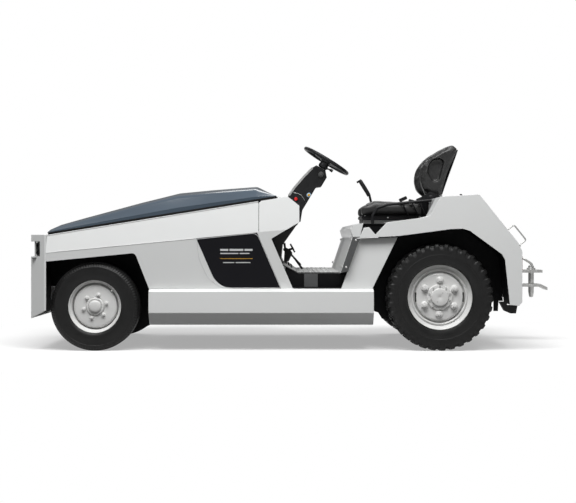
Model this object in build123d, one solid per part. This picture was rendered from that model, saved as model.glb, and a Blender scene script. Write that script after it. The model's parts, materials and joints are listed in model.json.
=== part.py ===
from build123d import *
import math
import os

os.makedirs("parts", exist_ok=True)

# Airport tow tractor, electric, one seat. Millimetres, +Z up, floor at z = 0.
# The nose points along -X, the driver's left side along -Y.
# The origin is on the floor, at the middle of the overall length.

# Stance
overall_width = 1450.0
front_overhang = 426.0
wheelbase = 2258.0
rear_overhang = 530.0
hitch_reach = 318.0
overall_length = front_overhang + wheelbase + rear_overhang + hitch_reach
nose_x = -overall_length / 2
front_axle_x = nose_x + front_overhang
rear_axle_x = front_axle_x + wheelbase
tail_x = rear_axle_x + rear_overhang
half_width = overall_width / 2

# Sheet and plate thicknesses, and gaps between pieces
skin_wall = 6.0
frame_wall = 8.0
seat_gap = 0.3
shaft_gap = 0.1
pin_gap = 0.4
swing_gap = 3.0

# Front wheels
front_tyre_r = 290.0
front_tyre_width = 150.0
front_tread_width = 112.0
front_shoulder_drop = 22.0
front_tyre_sides = 28
front_rim_r = 170.0
front_flange_r = 178.5
front_rim_width = 122.0
front_disc_offset = 36.0
front_hub_r = 55.0
front_cap_r = 35.0
front_cap_out = 24.0
front_disc_r = 142.0
front_hub_flat_r = 95.0
front_side_inset = 25.0
front_wheel_y = half_width - front_side_inset - front_tyre_width / 2

# Rear wheels
rear_tyre_r = 350.0
rear_tyre_width = 190.0
rear_shoulder_drop = 9.0
rear_tyre_sides = 24
rear_rim_r = 212.0
rear_flange_r = 225.5
rear_rim_width = 152.0
rear_disc_offset = 30.0
rear_hub_r = 83.5
rear_cap_r = 54.0
rear_cap_out = 34.0
rear_ring_r = 178.0
rear_disc_r = 157.5
rear_ring_depth = 26.0
rear_side_inset = 20.0
rear_wheel_y = half_width - rear_side_inset - rear_tyre_width / 2

# Lugs of the rear tyres: a row on each half, set off by half a pitch
lug_count = 34
lug_depth = 14.0
lug_length = 38.0
lug_side = 4.0
lug_tread = 10.0
lug_edge_in = 19.0
lug_inner = 6.0
lug_corner = 16.0
lug_root = 38.0

# Wheel plates and rims
rim_wall = 8.0
disc_wall = 10.0
rim_lip = 6.0
front_hub_back = 28.0
rear_hub_back = 34.0
hub_step = 6.0
disc_dish = 4.0

# Steering gear
kingpin_offset = 40.0
kingpin_y = front_wheel_y - kingpin_offset
kingpin_r = 14.0
beam_height = 70.0
beam_depth = 60.0
beam_end_depth = 44.0
boss_r = 28.0
ear_wall = 16.0
web_wall = 12.0
spindle_r = 22.0
arm_length = 105.0
arm_wall = 14.0
arm_root = 18.0
arm_drop = 13.0
ball_r = 9.0
eye_r = 19.0
eye_wall = 20.0
ear_gap = 2.0
web_gap = 4.0
web_half_depth = 32.0
beam_end_length = 90.0
tie_rod_r = 12.0
tie_rod_drop = 33.0
lug_reach = 140.0
lug_width = 36.0
lug_drop = 6.0
pitman_y = -150.0
pitman_width = 28.0
pitman_shaft_r = 14.0
pitman_shaft_in = 30.0
gearbox_size = 100.0
gearbox_rise = 15.0

# Body heights
sill_bottom_z = 169.0
sill_face_bottom_z = 250.0
sill_face_top_z = 390.0
sill_top_z = 407.0
sill_undercut = 60.0
sill_ledge = 38.0
step_width = 125.0
step_y = half_width - step_width
floor_z = 508.0
seat_deck_z = 835.0

# Nose block
nose_depth = 116.0
nose_chamfer_in = 85.0
nose_top_z = 760.0
nose_bottom_front_z = 209.0
nose_bottom_rear_z = 267.0
nose_wall = 10.0
nose_corner_in = 10.0
lamp_bottom_z = 618.0
lamp_top_z = 715.0
lamp_side_gap = 26.0
lamp_width = 269.0
lamp_outer_y = half_width - lamp_side_gap
lamp_inner_y = lamp_outer_y - lamp_width
lamp_depth = 70.0
lamp_rim = 12.0
lamp_bar_width = 75.0
lamp_bar_pitch = 95.0
lamp_bar_in = 20.0
lamp_bar_front = 24.0
lamp_bar_gap = 10.0
nose_rear_x = nose_x + nose_depth

# Side panels: a widest line rises towards the rear, the face above leans in and
# the face below leans in
crease_front_z = 642.0
crease_rise = math.tan(math.radians(5.5))
edge_front_z = 757.0
edge_rise = math.tan(math.radians(9.1))
upper_lean = math.radians(10.0)
lower_lean = math.radians(6.0)
panel_zone = 130.0
flange_width = 45.0
flange_edge = 3.0

# Cowl, pillars and black side covers
bay_length = 1069.0
seam_x = front_axle_x + bay_length
pillar_seam_in = 7.0
pillar_slant = 0.43
pillar_width = 76.0
cover_gap = 1.0
cover_foot_length = 120.0
cover_length = 396.0
cover_corner_r = 150.0
cowl_top_length = 194.0
cowl_length = 268.5
cowl_shoulder_drop = 60.0
cowl_chin_drop = 108.0
cowl_notch_drop = 41.0
cowl_lip = 14.0
cowl_lip_length = 22.0
cowl_corner_r = 12.0
cowl_edge_r = 8.0
cowl_notch_r = 6.0
cowl_top_x = seam_x + cowl_top_length
cowl_rear_x = seam_x + cowl_length

# Front wheel arch in the side panel
arch_gap = 57.0
arch_rear = 356.0
arch_rear_slant = 0.388
arch_corner_r = 30.0
arch_foot_rise = 20.0
steered_reach = 215.0
arch_inner_y = kingpin_y - steered_reach
liner_foot_z = 245.0
nose_lap = 34.0
liner_nose_gap = 12.0
liner_wall = 4.0
liner_gap = 8.0

# Hood
hood_overlap = 117.0
hood_rear_x = seam_x + hood_overlap
hood_wall = 5.0
seal_height = 16.0
seal_width = 22.0
hood_side_inset = 6.0
hinge_r = 8.0
hinge_pin_r = 4.5
hinge_length = 60.0
hinge_y = 420.0
hinge_ear = 6.0
hinge_ear_gap = 2.0
hinge_leaf = 4.0
hinge_back = 14.0
hinge_x = hood_rear_x + hinge_back

# Steering column
wheel_forward = 200.5
wheel_rise = 341.0
wheel_centre_x = cowl_rear_x + wheel_forward
column_tilt = math.radians(31.4)
wheel_rim_r = 171.0
wheel_tube_r = 13.0
wheel_boss_r = 26.0
wheel_boss_length = 60.0
wheel_boss_top = 6.0
spoke_width = 26.0
spoke_wall = 9.0
spoke_turns = (90, 210, 330)
column_shaft_r = 10.0
column_shaft_out = 30.0
column_gap = 6.0
column_width = 110.0

# Rails, springs and axles
rail_side_gap = 30.0
rail_width = 60.0
rail_y = arch_inner_y - rail_side_gap - rail_width / 2
rail_bottom_z = 410.0
rail_height = 90.0
spring_height = 40.0
spring_half = 300.0
spring_seat = 60.0
spring_eye = 50.0
spring_end = 14.0
rear_rail_bottom_z = 480.0
axle_tube_r = 55.0
differential_r = 150.0
motor_r = 130.0
motor_length = 270.0
rear_spindle_r = 38.0
drum_r = 130.0
drum_width = 70.0
bulkhead_gap = 12.0
bulkhead_drop = 60.0
rear_member_in = 462.0
member_lap = 20.0
steer_member_depth = 60.0
tail_member_depth = 60.0
tail_member_margin = 40.0

# Rear body
rear_arch_gap = 35.0
inner_arch_y = rear_wheel_y - rear_tyre_width / 2 - rear_arch_gap
pedestal_in = 568.0
pedestal_lean = 82.0
pedestal_front_x = rear_axle_x - pedestal_in
sill_rear_in = 435.0

# Battery
battery_length = 700.0
battery_side_gap = 60.0
battery_width = 2 * (step_y - battery_side_gap)
battery_height = 560.0
battery_front_gap = 10.0
battery_rear_gap = 43.0
belly_wall = 8.0

# Seat
cushion_in = 494.0
cushion_front_x = rear_axle_x - cushion_in
cushion_length = 436.0
cushion_width = 470.0
cushion_rise = 55.0
cushion_bottom_z = seat_deck_z + cushion_rise
cushion_height = 122.0
backrest_width = 450.0
seat_base_width = 340.0
seat_base_inset = 20.0
seat_bracket_width = 300.0
guard_rail_y = 330.0
guard_rail_r = 10.0
guard_rail_bend = 22.0
lever_y = 285.0
lever_r = 9.0
lever_bend = 30.0

# Tow hitch
hitch_width = 120.0
hitch_wall = 20.0
hitch_upper_z = 493.0
hitch_lower_z = 393.0
hitch_pin_r = 20.0
hitch_pin_reach = 214.0
hitch_pin_x = tail_x + hitch_pin_reach
hitch_pin_foot_z = 317.0
hitch_pin_top = 30.0
hitch_collar = 10.0
hitch_collar_height = 12.0
hitch_grip_r = 13.0
hitch_upper_reach = 283.0
hitch_lower_reach = 270.0
hitch_lip_drop = 24.0
hitch_back_wall = 14.0
hitch_back_edge = 20.0
hitch_back_low = 30.0
hitch_back_high = 50.0

# Grab handles and rear lamps
handle_side_gap = 35.0
handle_y = half_width - handle_side_gap
handle_r = 5.0
handle_bend = 12.0
handle_out = 56.0
handle_upper = -105.0
handle_lower = 22.0
rear_lamp_side_gap = 30.0
rear_lamp_width = 100.0
rear_lamp_depth = 8.0
rear_lamp_bottom_z = 520.0
rear_lamp_height = 100.0


def crease_z(x):
    return crease_front_z + crease_rise * (x - nose_rear_x)


def edge_z(x):
    return edge_front_z + edge_rise * (x - nose_rear_x)


def arch_top_z(x):
    return crease_z(x) - arch_gap


def pillar_front_x(z):
    return seam_x - pillar_seam_in + pillar_slant * (crease_z(seam_x) - z)


def placed(rows, x, z):
    """Rows of x, height and an optional corner radius, moved to their place."""
    return [(x + row[0], z + row[1]) + tuple(row[2:]) for row in rows]


cowl_shoulder_z = edge_z(cowl_top_x) - cowl_shoulder_drop
cowl_chin_z = cowl_shoulder_z - cowl_chin_drop
wheel_centre_z = cowl_shoulder_z + wheel_rise


def face_from(points, place):
    """A flat face from corners, each with an optional fillet radius as its third value."""
    corners = [place(corner[0], corner[1]) for corner in points]
    radii = [corner[2] if len(corner) > 2 else 0 for corner in points]
    if any(radii):
        return make_face(FilletPolyline(*corners, radius=radii, close=True))
    return make_face(Polyline(*corners, close=True))


def prism_y(points, y_low, y_high):
    """An outline in x and z, drawn out along y."""
    face = face_from(points, lambda x, z: (x, y_low, z))
    return extrude(face, amount=y_high - y_low, dir=(0, 1, 0))


def prism_z(points, z_low, z_high):
    """An outline in x and y, drawn out along z."""
    face = face_from(points, lambda x, y: (x, y, z_low))
    return extrude(face, amount=z_high - z_low, dir=(0, 0, 1))


def prism_x(points, x_low, x_high):
    """An outline in y and z, drawn out along x."""
    face = face_from(points, lambda y, z: (x_low, y, z))
    return extrude(face, amount=x_high - x_low, dir=(1, 0, 0))


def block(x_low, x_high, y_low, y_high, z_low, z_high):
    size = (x_high - x_low, y_high - y_low, z_high - z_low)
    centre = ((x_low + x_high) / 2, (y_low + y_high) / 2, (z_low + z_high) / 2)
    return Pos(*centre) * Box(*size)


def rod(start, end, radius):
    """A round bar between two points."""
    start = Vector(*start)
    run = Vector(*end) - start
    circle = Plane(origin=start, z_dir=run) * Circle(radius)
    return extrude(circle, amount=run.length, dir=run.normalized())


def upright_rod(x, y, z_low, z_high, radius):
    return rod((x, y, z_low), (x, y, z_high), radius)


def cross_rod(x, y_low, y_high, z, radius):
    return rod((x, y_low, z), (x, y_high, z), radius)


def bent_rod(points, radius, bend):
    """A round bar along straight runs joined by arcs."""
    path = FilletPolyline(*points, radius=bend)
    section = Plane(origin=path @ 0, z_dir=path % 0) * Circle(radius)
    return sweep(section, path=path)


def turned(profile, x, y, z, side):
    """A ring turned about a cross-wise axis, from radius and outward offset."""
    corners = [(x + radius, y + side * offset, z) for radius, offset in profile]
    return revolve(make_face(Polyline(*corners, close=True)), axis=Axis((x, y, z), (0, 1, 0)))


def cut_beyond(solid, point, normal):
    """What is left of a solid once all that lies beyond a plane is cut away."""
    reach = 4 * overall_length
    return solid - Plane(origin=point, z_dir=normal) * Pos(0, 0, reach / 2) * Box(reach, reach, reach)


def left_normal(start, end):
    run_x = end[0] - start[0]
    run_z = end[1] - start[1]
    length = math.hypot(run_x, run_z)
    return (-run_z / length, run_x / length)


def moved_line(points, distance):
    """A bent line moved to the left of its run, with its corners kept sharp."""
    moved = []
    for place, point in enumerate(points):
        normals = []
        if place > 0:
            normals.append(left_normal(points[place - 1], point))
        if place < len(points) - 1:
            normals.append(left_normal(point, points[place + 1]))
        sum_x = sum(normal[0] for normal in normals)
        sum_z = sum(normal[1] for normal in normals)
        scale = distance if len(normals) == 1 else 2 * distance / (sum_x ** 2 + sum_z ** 2)
        moved.append((point[0] + scale * sum_x, point[1] + scale * sum_z))
    return moved


def bent_plate(points, wall):
    """The outline of a plate of even thickness on the left of a bent line."""
    return list(points) + list(reversed(moved_line(points, wall)))


def other_side(solid):
    return mirror(solid, about=Plane.XZ)


def save(name, *solids):
    pieces = [piece for solid in solids for piece in solid.solids()]
    shape = pieces[0] if len(pieces) == 1 else Compound(children=pieces)
    shape.label = name
    export_step(shape, "parts/" + name + ".step")


def save_pair(name, solid):
    save(name, solid, other_side(solid))


def within_side(solid, depth):
    """What lies deeper inside the creased side surface than a depth."""
    upper_normal = (-crease_rise * math.sin(upper_lean), math.cos(upper_lean), math.sin(upper_lean))
    lower_normal = (crease_rise * math.sin(lower_lean), math.cos(lower_lean), -math.sin(lower_lean))
    on_crease = Vector(seam_x, half_width, crease_z(seam_x))
    for normal in (upper_normal, lower_normal):
        direction = Vector(*normal).normalized()
        solid = cut_beyond(solid, on_crease - direction * depth, direction)
    return solid


def side_skin(outline, wall):
    """A body side panel: an outline cut from the creased side surface, as thick as its wall."""
    outer = within_side(prism_y(outline, half_width - panel_zone, half_width), 0)
    inner = within_side(prism_y(outline, half_width - 2 * panel_zone, half_width), wall)
    return outer - inner


# Wheels: the tyres are rings of flat facets that stand on a corner. Profiles are rows of radius
# and outward offset from the wheel's middle plane.
def facet_ring(profile, x, y, z, side, sides):
    """A closed ring of flat facets about a cross-wise axis."""
    rings = []
    for step in range(sides):
        turn = math.radians(360.0 * step / sides - 90.0)
        rings.append([(x + radius * math.cos(turn), y + side * offset, z + radius * math.sin(turn))
                      for radius, offset in profile])
    faces = []
    for step, here in enumerate(rings):
        there = rings[(step + 1) % sides]
        for row in range(len(profile)):
            after = (row + 1) % len(profile)
            faces.append(make_face(Polyline(here[row], here[after], there[after], there[row], close=True)))
    return Solid(Shell(faces))


def tyre(x, y, z, side, radius, width, tread, drop, bead_r, bead_half, flange_r, sides, soft=True):
    half = width / 2
    tread_half = tread / 2
    shoulder = tread_half + 0.6 * (half - tread_half)
    flank_r = flange_r + 0.25 * (radius - flange_r)
    fit = 1 / math.cos(math.pi / sides)
    shoulder_rows = [(radius - 0.4 * drop, shoulder)] if soft else []
    right_half = [(bead_r * fit, bead_half), ((flange_r + 2) * fit, bead_half), (flank_r, half - 3),
                  (radius - 2.1 * drop, half)] + shoulder_rows + [(radius, tread_half)]
    left_half = [(ring_r, -offset) for ring_r, offset in reversed(right_half)]
    return facet_ring(right_half + left_half, x, y, z, side, sides)


def tyre_lugs(x, y, z, radius, width):
    """Blocks across both halves of the tread, whose outermost corners lie on the radius."""
    half_length = lug_length / 2
    top = math.sqrt(radius ** 2 - half_length ** 2)
    rows = [(radius - lug_depth - lug_tread, lug_inner), (top, lug_inner), (top, width / 2 - lug_tread),
            (top - lug_corner, width / 2), (top - lug_root, width / 2 - 1.5 * lug_side)]
    first = math.degrees(math.asin(half_length / radius)) - 90.0
    lugs = []
    for hand, shift in ((-1, 0.0), (1, 0.5)):
        for step in range(lug_count):
            turn = math.radians(first + 360.0 * (step + shift) / lug_count)
            out = Vector(math.cos(turn), 0, math.sin(turn))
            along = Vector(-math.sin(turn), 0, math.cos(turn))
            start = Vector(x, y, z) - along * half_length
            corners = [start + out * ring_r + Vector(0, hand * offset, 0) for ring_r, offset in rows]
            lugs.append(extrude(make_face(Polyline(*corners, close=True)), amount=lug_length, dir=along))
    return lugs


def front_rim(x, y, side):
    half = front_rim_width / 2
    inner_r = front_rim_r - rim_wall
    disc_in = front_disc_offset
    disc_out = disc_in + disc_wall
    bore_r = spindle_r + shaft_gap
    profile = [
        (front_rim_r, -half + rim_lip), (front_flange_r, -half + rim_lip), (front_flange_r, -half),
        (inner_r, -half), (inner_r, disc_in - 2 * disc_dish), (front_disc_r, disc_in),
        (front_hub_flat_r, disc_in - disc_dish), (front_hub_r, disc_in - disc_dish),
        (front_hub_r, disc_in - front_hub_back), (bore_r, disc_in - front_hub_back),
        (bore_r, disc_out), (0, disc_out), (0, disc_out + front_cap_out),
        (0.6 * front_cap_r, disc_out + 0.85 * front_cap_out), (front_cap_r, disc_out + 0.3 * front_cap_out),
        (front_cap_r, disc_out + hub_step), (front_hub_r, disc_out + hub_step),
        (front_hub_r, disc_out - disc_dish), (front_hub_flat_r, disc_out - disc_dish),
        (front_disc_r, disc_out), (inner_r, disc_out - 2 * disc_dish),
        (inner_r, half), (front_flange_r, half), (front_flange_r, half - rim_lip),
        (front_rim_r, half - rim_lip),
    ]
    return turned(profile, x, y, front_tyre_r, side)


def rear_rim(x, y, side):
    half = rear_rim_width / 2
    inner_r = rear_rim_r - rim_wall
    disc_in = rear_disc_offset
    bore_r = rear_spindle_r + shaft_gap
    disc_out = disc_in + disc_wall
    profile = [
        (rear_rim_r, -half + rim_lip), (rear_flange_r, -half + rim_lip), (rear_flange_r, -half),
        (inner_r, -half), (inner_r, 0), (rear_ring_r, disc_in - 22), (rear_disc_r, disc_in - 22),
        (rear_disc_r - 10, disc_in), (rear_hub_r, disc_in), (rear_hub_r, disc_in - rear_hub_back),
        (bore_r, disc_in - rear_hub_back), (bore_r, disc_out + 4), (0, disc_out + 4),
        (0, disc_out + rear_cap_out), (rear_cap_r - 4, disc_out + rear_cap_out),
        (rear_cap_r, disc_out + rear_cap_out - 6), (rear_cap_r, disc_out + 12),
        (rear_hub_r, disc_out + 10), (rear_hub_r, disc_out), (rear_disc_r - 6, disc_out),
        (rear_disc_r, disc_out - 6), (rear_disc_r, disc_in - 10), (rear_ring_r, disc_in - 10),
        (rear_ring_r, half - rear_ring_depth), (inner_r, half - 8), (inner_r + 4, half), (rear_flange_r, half),
        (rear_flange_r, half - rim_lip), (rear_rim_r, half - rim_lip),
    ]
    return turned(profile, x, y, rear_tyre_r, side)


for side_name, side in (("left", -1), ("right", 1)):
    wheel_y = side * front_wheel_y
    bead_half = front_rim_width / 2 - rim_lip - seat_gap
    front_tyre = tyre(front_axle_x, wheel_y, front_tyre_r, side, front_tyre_r, front_tyre_width,
                      front_tread_width, front_shoulder_drop, front_rim_r + seat_gap, bead_half,
                      front_flange_r, front_tyre_sides)
    save("front_tyre_" + side_name, front_tyre)
    save("front_rim_" + side_name, front_rim(front_axle_x, wheel_y, side))
    wheel_y = side * rear_wheel_y
    bead_half = rear_rim_width / 2 - rim_lip - seat_gap
    body_width = rear_tyre_width - 2 * lug_side
    rear_tyre = tyre(rear_axle_x, wheel_y, rear_tyre_r, side, rear_tyre_r - lug_depth, body_width,
                     body_width - 2 * lug_edge_in, rear_shoulder_drop, rear_rim_r + seat_gap, bead_half,
                     rear_flange_r, rear_tyre_sides, False)
    rear_tyre += tyre_lugs(rear_axle_x, wheel_y, rear_tyre_r, rear_tyre_r, rear_tyre_width)
    save("rear_tyre_" + side_name, rear_tyre)
    save("rear_rim_" + side_name, rear_rim(rear_axle_x, wheel_y, side))


# Steering knuckles: a fork around the beam's end, its king pin, the wheel spindle and the arm
axle_z = front_tyre_r
ear_inner = beam_height / 2 + ear_gap
ear_outer = ear_inner + ear_wall
web_inner = boss_r + web_gap
web_outer = web_inner + web_wall


def knuckle(side):
    pin_y = side * kingpin_y

    def out(offset):
        return pin_y + side * offset

    def slab(x_half, near, far, z_low, z_high):
        low, high = sorted((out(near), out(far)))
        return block(front_axle_x - x_half, front_axle_x + x_half, low, high, z_low, z_high)

    web = slab(web_half_depth, web_inner, web_outer, axle_z - ear_outer, axle_z + ear_outer)
    solid = web + slab(boss_r, 0, web_outer, axle_z + ear_inner, axle_z + ear_outer)
    solid += slab(boss_r, 0, web_outer, axle_z - ear_outer, axle_z - ear_inner)
    for z_low in (axle_z + ear_inner, axle_z - ear_outer):
        solid += upright_rod(front_axle_x, pin_y, z_low, z_low + ear_wall, boss_r)
    solid += upright_rod(front_axle_x, pin_y, axle_z - ear_outer, axle_z + ear_outer + ear_wall / 2, kingpin_r)
    spindle_end = kingpin_offset + front_disc_offset + disc_wall - 2.0
    solid += cross_rod(front_axle_x, out(web_outer - 2), out(spindle_end), axle_z, spindle_r)
    arm_top = axle_z - arm_drop + arm_wall / 2
    ball_x = front_axle_x + arm_length
    root_x = front_axle_x + web_half_depth
    arm = prism_z([(root_x - 8, out(web_inner)), (root_x - 8, out(web_outer)),
                   (root_x + arm_root, out(web_outer)), (ball_x + arm_wall, out(arm_wall)),
                   (ball_x + arm_wall, out(-arm_wall)), (ball_x - arm_wall, out(-arm_wall)),
                   (root_x + arm_wall, out(web_inner - 10)), (root_x, out(web_inner))],
                  arm_top - arm_wall, arm_top)
    stud_foot = axle_z - tie_rod_drop - eye_wall / 2 - 4
    return solid + arm + upright_rod(ball_x, pin_y, stud_foot, arm_top, ball_r)


save("knuckle_left", knuckle(-1))
save("knuckle_right", knuckle(1))

# Tie rod with an eye at each end, and a lug to the rear that the pitman arm takes
tie_rod_x = front_axle_x + arm_length
tie_rod_z = axle_z - tie_rod_drop
lug_x = tie_rod_x + lug_reach
tie_rod_eyes = ((tie_rod_x, -kingpin_y), (tie_rod_x, kingpin_y), (lug_x, pitman_y))
tie_rod = cross_rod(tie_rod_x, -kingpin_y, kingpin_y, tie_rod_z, tie_rod_r)
for eye_x, eye_y in tie_rod_eyes:
    tie_rod += upright_rod(eye_x, eye_y, tie_rod_z - eye_wall / 2, tie_rod_z + eye_wall / 2 - 2, eye_r)
tie_rod += block(tie_rod_x, lug_x, pitman_y - lug_width / 2, pitman_y + lug_width / 2,
                 tie_rod_z - eye_wall / 2, tie_rod_z + eye_wall / 2 - lug_drop)
for eye_x, eye_y in tie_rod_eyes:
    tie_rod -= upright_rod(eye_x, eye_y, tie_rod_z - eye_wall, tie_rod_z + eye_wall, ball_r + pin_gap)
save("tie_rod", tie_rod)

# Pitman arm: the same length and direction as the knuckle arms
pitman_x = front_axle_x + lug_reach
pitman_z = axle_z - arm_drop
pitman_top = pitman_z + arm_wall / 2
gearbox_bottom = axle_z + gearbox_rise
pitman = block(pitman_x, lug_x, pitman_y - pitman_width / 2, pitman_y + pitman_width / 2,
               pitman_top - arm_wall, pitman_top)
for pivot_x in (pitman_x, lug_x):
    pitman += upright_rod(pivot_x, pitman_y, pitman_top - arm_wall, pitman_top, eye_r)
pitman += upright_rod(lug_x, pitman_y, tie_rod_z - eye_wall / 2 - 4, pitman_top, ball_r)
pitman += upright_rod(pitman_x, pitman_y, pitman_top - 2, gearbox_bottom + pitman_shaft_in, pitman_shaft_r)
save("pitman_arm", pitman)

# Steering gearbox, hung from the front cross member
gearbox = block(pitman_x - gearbox_size / 2, pitman_x + gearbox_size / 2, pitman_y - gearbox_size / 2,
                pitman_y + gearbox_size / 2, gearbox_bottom, rail_bottom_z + member_lap)
gearbox -= upright_rod(pitman_x, pitman_y, gearbox_bottom - 5, gearbox_bottom + pitman_shaft_in + 4,
                       pitman_shaft_r + shaft_gap)
save("steering_gearbox", gearbox)

# Front axle beam between the knuckles
beam = block(front_axle_x - beam_depth / 2, front_axle_x + beam_depth / 2, -kingpin_y + beam_end_length,
             kingpin_y - beam_end_length,
             axle_z - beam_height / 2, axle_z + beam_height / 2)
beam += block(front_axle_x - beam_end_depth / 2, front_axle_x + beam_end_depth / 2, -kingpin_y, kingpin_y,
              axle_z - beam_height / 2, axle_z + beam_height / 2)
for side in (-1, 1):
    pin_y = side * kingpin_y
    beam += upright_rod(front_axle_x, pin_y, axle_z - beam_height / 2, axle_z + beam_height / 2, boss_r)
    beam -= upright_rod(front_axle_x, pin_y, axle_z - beam_height, axle_z + beam_height, kingpin_r + shaft_gap)
save("front_axle_beam", beam)


# Leaf springs: an arc of even height over each axle, its ends up against the rails
def leaf_spring(axle_x, seat_z, rail_z):
    rise = rail_z - seat_z
    leaf = min(spring_height, rise - 8)
    low = [(axle_x - spring_half, rail_z - spring_end), (axle_x - spring_seat, seat_z),
           (axle_x + spring_seat, seat_z), (axle_x + spring_half, rail_z - spring_end)]
    high = [(axle_x + spring_half, rail_z), (axle_x + spring_half - spring_eye, rail_z),
            (axle_x + spring_seat + 10, seat_z + leaf), (axle_x - spring_seat - 10, seat_z + leaf),
            (axle_x - spring_half + spring_eye, rail_z), (axle_x - spring_half, rail_z)]
    return prism_y(low + high, rail_y - rail_width / 2, rail_y + rail_width / 2)


front_spring = leaf_spring(front_axle_x, axle_z + beam_height / 2, rail_bottom_z)
rear_spring = leaf_spring(rear_axle_x, rear_tyre_r + axle_tube_r, rear_rail_bottom_z)
save("leaf_springs", front_spring, other_side(front_spring), rear_spring, other_side(rear_spring))

# Rear axle: housing, tubes, drums and the spindles that carry the wheels
rear_hub_inner = rear_wheel_y + rear_disc_offset - rear_hub_back
drum_outer = rear_hub_inner - swing_gap - 2
axle = cross_rod(rear_axle_x, -drum_outer, drum_outer, rear_tyre_r, axle_tube_r)
axle += cross_rod(rear_axle_x, -differential_r, differential_r, rear_tyre_r, differential_r)
spindle_reach = rear_wheel_y + rear_disc_offset + disc_wall
axle += cross_rod(rear_axle_x, -spindle_reach, spindle_reach, rear_tyre_r, rear_spindle_r)
for side in (-1, 1):
    axle += cross_rod(rear_axle_x, side * (drum_outer - drum_width), side * drum_outer, rear_tyre_r, drum_r)
save("rear_axle", axle)

# Drive motor, bolted to the front of the housing
motor_front = rear_axle_x - differential_r - motor_length
motor = rod((motor_front, 0, rear_tyre_r), (rear_axle_x, 0, rear_tyre_r), motor_r)
motor -= cross_rod(rear_axle_x, -differential_r, differential_r, rear_tyre_r, differential_r + seat_gap)
motor = cut_beyond(motor, (rear_axle_x - differential_r / 3, 0, rear_tyre_r), (1, 0, 0))
save("drive_motor", motor)

# Chassis rails in the nose and in the tail
bulkhead_x = front_axle_x + arch_rear + bulkhead_gap
rear_member_x = rear_axle_x - rear_member_in
front_rail = block(nose_rear_x - nose_depth + nose_wall, bulkhead_x, rail_y - rail_width / 2,
                   rail_y + rail_width / 2, rail_bottom_z, rail_bottom_z + rail_height)
rear_rail = block(rear_member_x + frame_wall, tail_x - skin_wall, rail_y - rail_width / 2,
                  rail_y + rail_width / 2, rear_rail_bottom_z, rear_rail_bottom_z + rail_height)
save("frame_rails", front_rail, other_side(front_rail), rear_rail, other_side(rear_rail))

# Cross members: one over the steering gear, and plates at both ends of the battery bay and step
inner_sill_y = step_y - frame_wall
rail_inner_y = rail_y - rail_width / 2
steer_member = block(pitman_x - steer_member_depth / 2, pitman_x + steer_member_depth / 2, -rail_inner_y,
                     rail_inner_y, rail_bottom_z + member_lap, rail_bottom_z + rail_height)
belly_top = sill_bottom_z + belly_wall
front_member = block(bulkhead_x, bulkhead_x + frame_wall, -inner_sill_y, inner_sill_y, belly_top,
                     edge_front_z - bulkhead_drop)
battery_x = bulkhead_x + frame_wall + battery_front_gap
mid_member_x = battery_x + battery_length + battery_rear_gap
mid_member = block(mid_member_x, mid_member_x + frame_wall, -inner_sill_y, inner_sill_y, belly_top,
                   floor_z - skin_wall)
rear_member = block(rear_member_x, rear_member_x + frame_wall, -inner_sill_y, inner_sill_y, belly_top,
                    rear_rail_bottom_z + rail_height)
tail_member = block(tail_x - skin_wall - tail_member_depth, tail_x - skin_wall, -rail_inner_y, rail_inner_y,
                    hitch_lower_z - tail_member_margin, hitch_upper_z + hitch_wall + tail_member_margin)
save("cross_members", steer_member, front_member, mid_member, rear_member, tail_member)

# Belly plate under the battery bay and the footwell
sill_front_x = front_axle_x + arch_rear
sill_rear_x = rear_axle_x - sill_rear_in
belly = block(sill_front_x, sill_rear_x, -inner_sill_y, inner_sill_y, sill_bottom_z, belly_top)
save("belly_plate", belly)

# Sills: bent plates, open on the inside, whose top is the step
sill_line = [(inner_sill_y, sill_top_z), (half_width - sill_ledge, sill_top_z), (half_width, sill_face_top_z),
             (half_width, sill_face_bottom_z), (half_width - sill_undercut, sill_bottom_z),
             (inner_sill_y, sill_bottom_z)]
sill = prism_x(bent_plate(sill_line, -frame_wall), sill_front_x, sill_rear_x)
for end_x in (sill_front_x, sill_rear_x - frame_wall):
    sill += prism_x(sill_line, end_x, end_x + frame_wall)
save_pair("sills", sill)

# Battery: one block that stands on the belly plate
battery = block(battery_x, battery_x + battery_length, -battery_width / 2, battery_width / 2, belly_top,
                belly_top + battery_height)
save("battery", battery)

# Nose block: a thick bent shell with chamfered corners, open below and behind
nose_front_y = half_width - nose_chamfer_in
nose_corner_x = nose_rear_x - nose_corner_in


def nose_plan(wall, rear_x):
    front_y = nose_front_y - 0.35 * wall
    corner_x = nose_corner_x + 0.55 * wall
    side_y = half_width - wall
    return [(nose_x + wall, -front_y), (corner_x, -side_y), (rear_x, -side_y), (rear_x, side_y),
            (corner_x, side_y), (nose_x + wall, front_y)]


nose = prism_z(nose_plan(0, nose_rear_x), nose_bottom_front_z, nose_top_z)
nose -= prism_z(nose_plan(nose_wall, nose_rear_x + nose_wall), nose_bottom_front_z - nose_wall,
                nose_top_z - nose_wall)
bottom_slope = Vector(nose_bottom_rear_z - nose_bottom_front_z, 0, -nose_depth).normalized()
nose = cut_beyond(nose, (nose_x, 0, nose_bottom_front_z), bottom_slope)
lamp_cut = block(nose_x - 10, nose_x + lamp_depth, lamp_inner_y, lamp_outer_y, lamp_bottom_z, lamp_top_z)
nose -= lamp_cut
nose -= other_side(lamp_cut)
save("nose_panel", nose)

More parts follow.
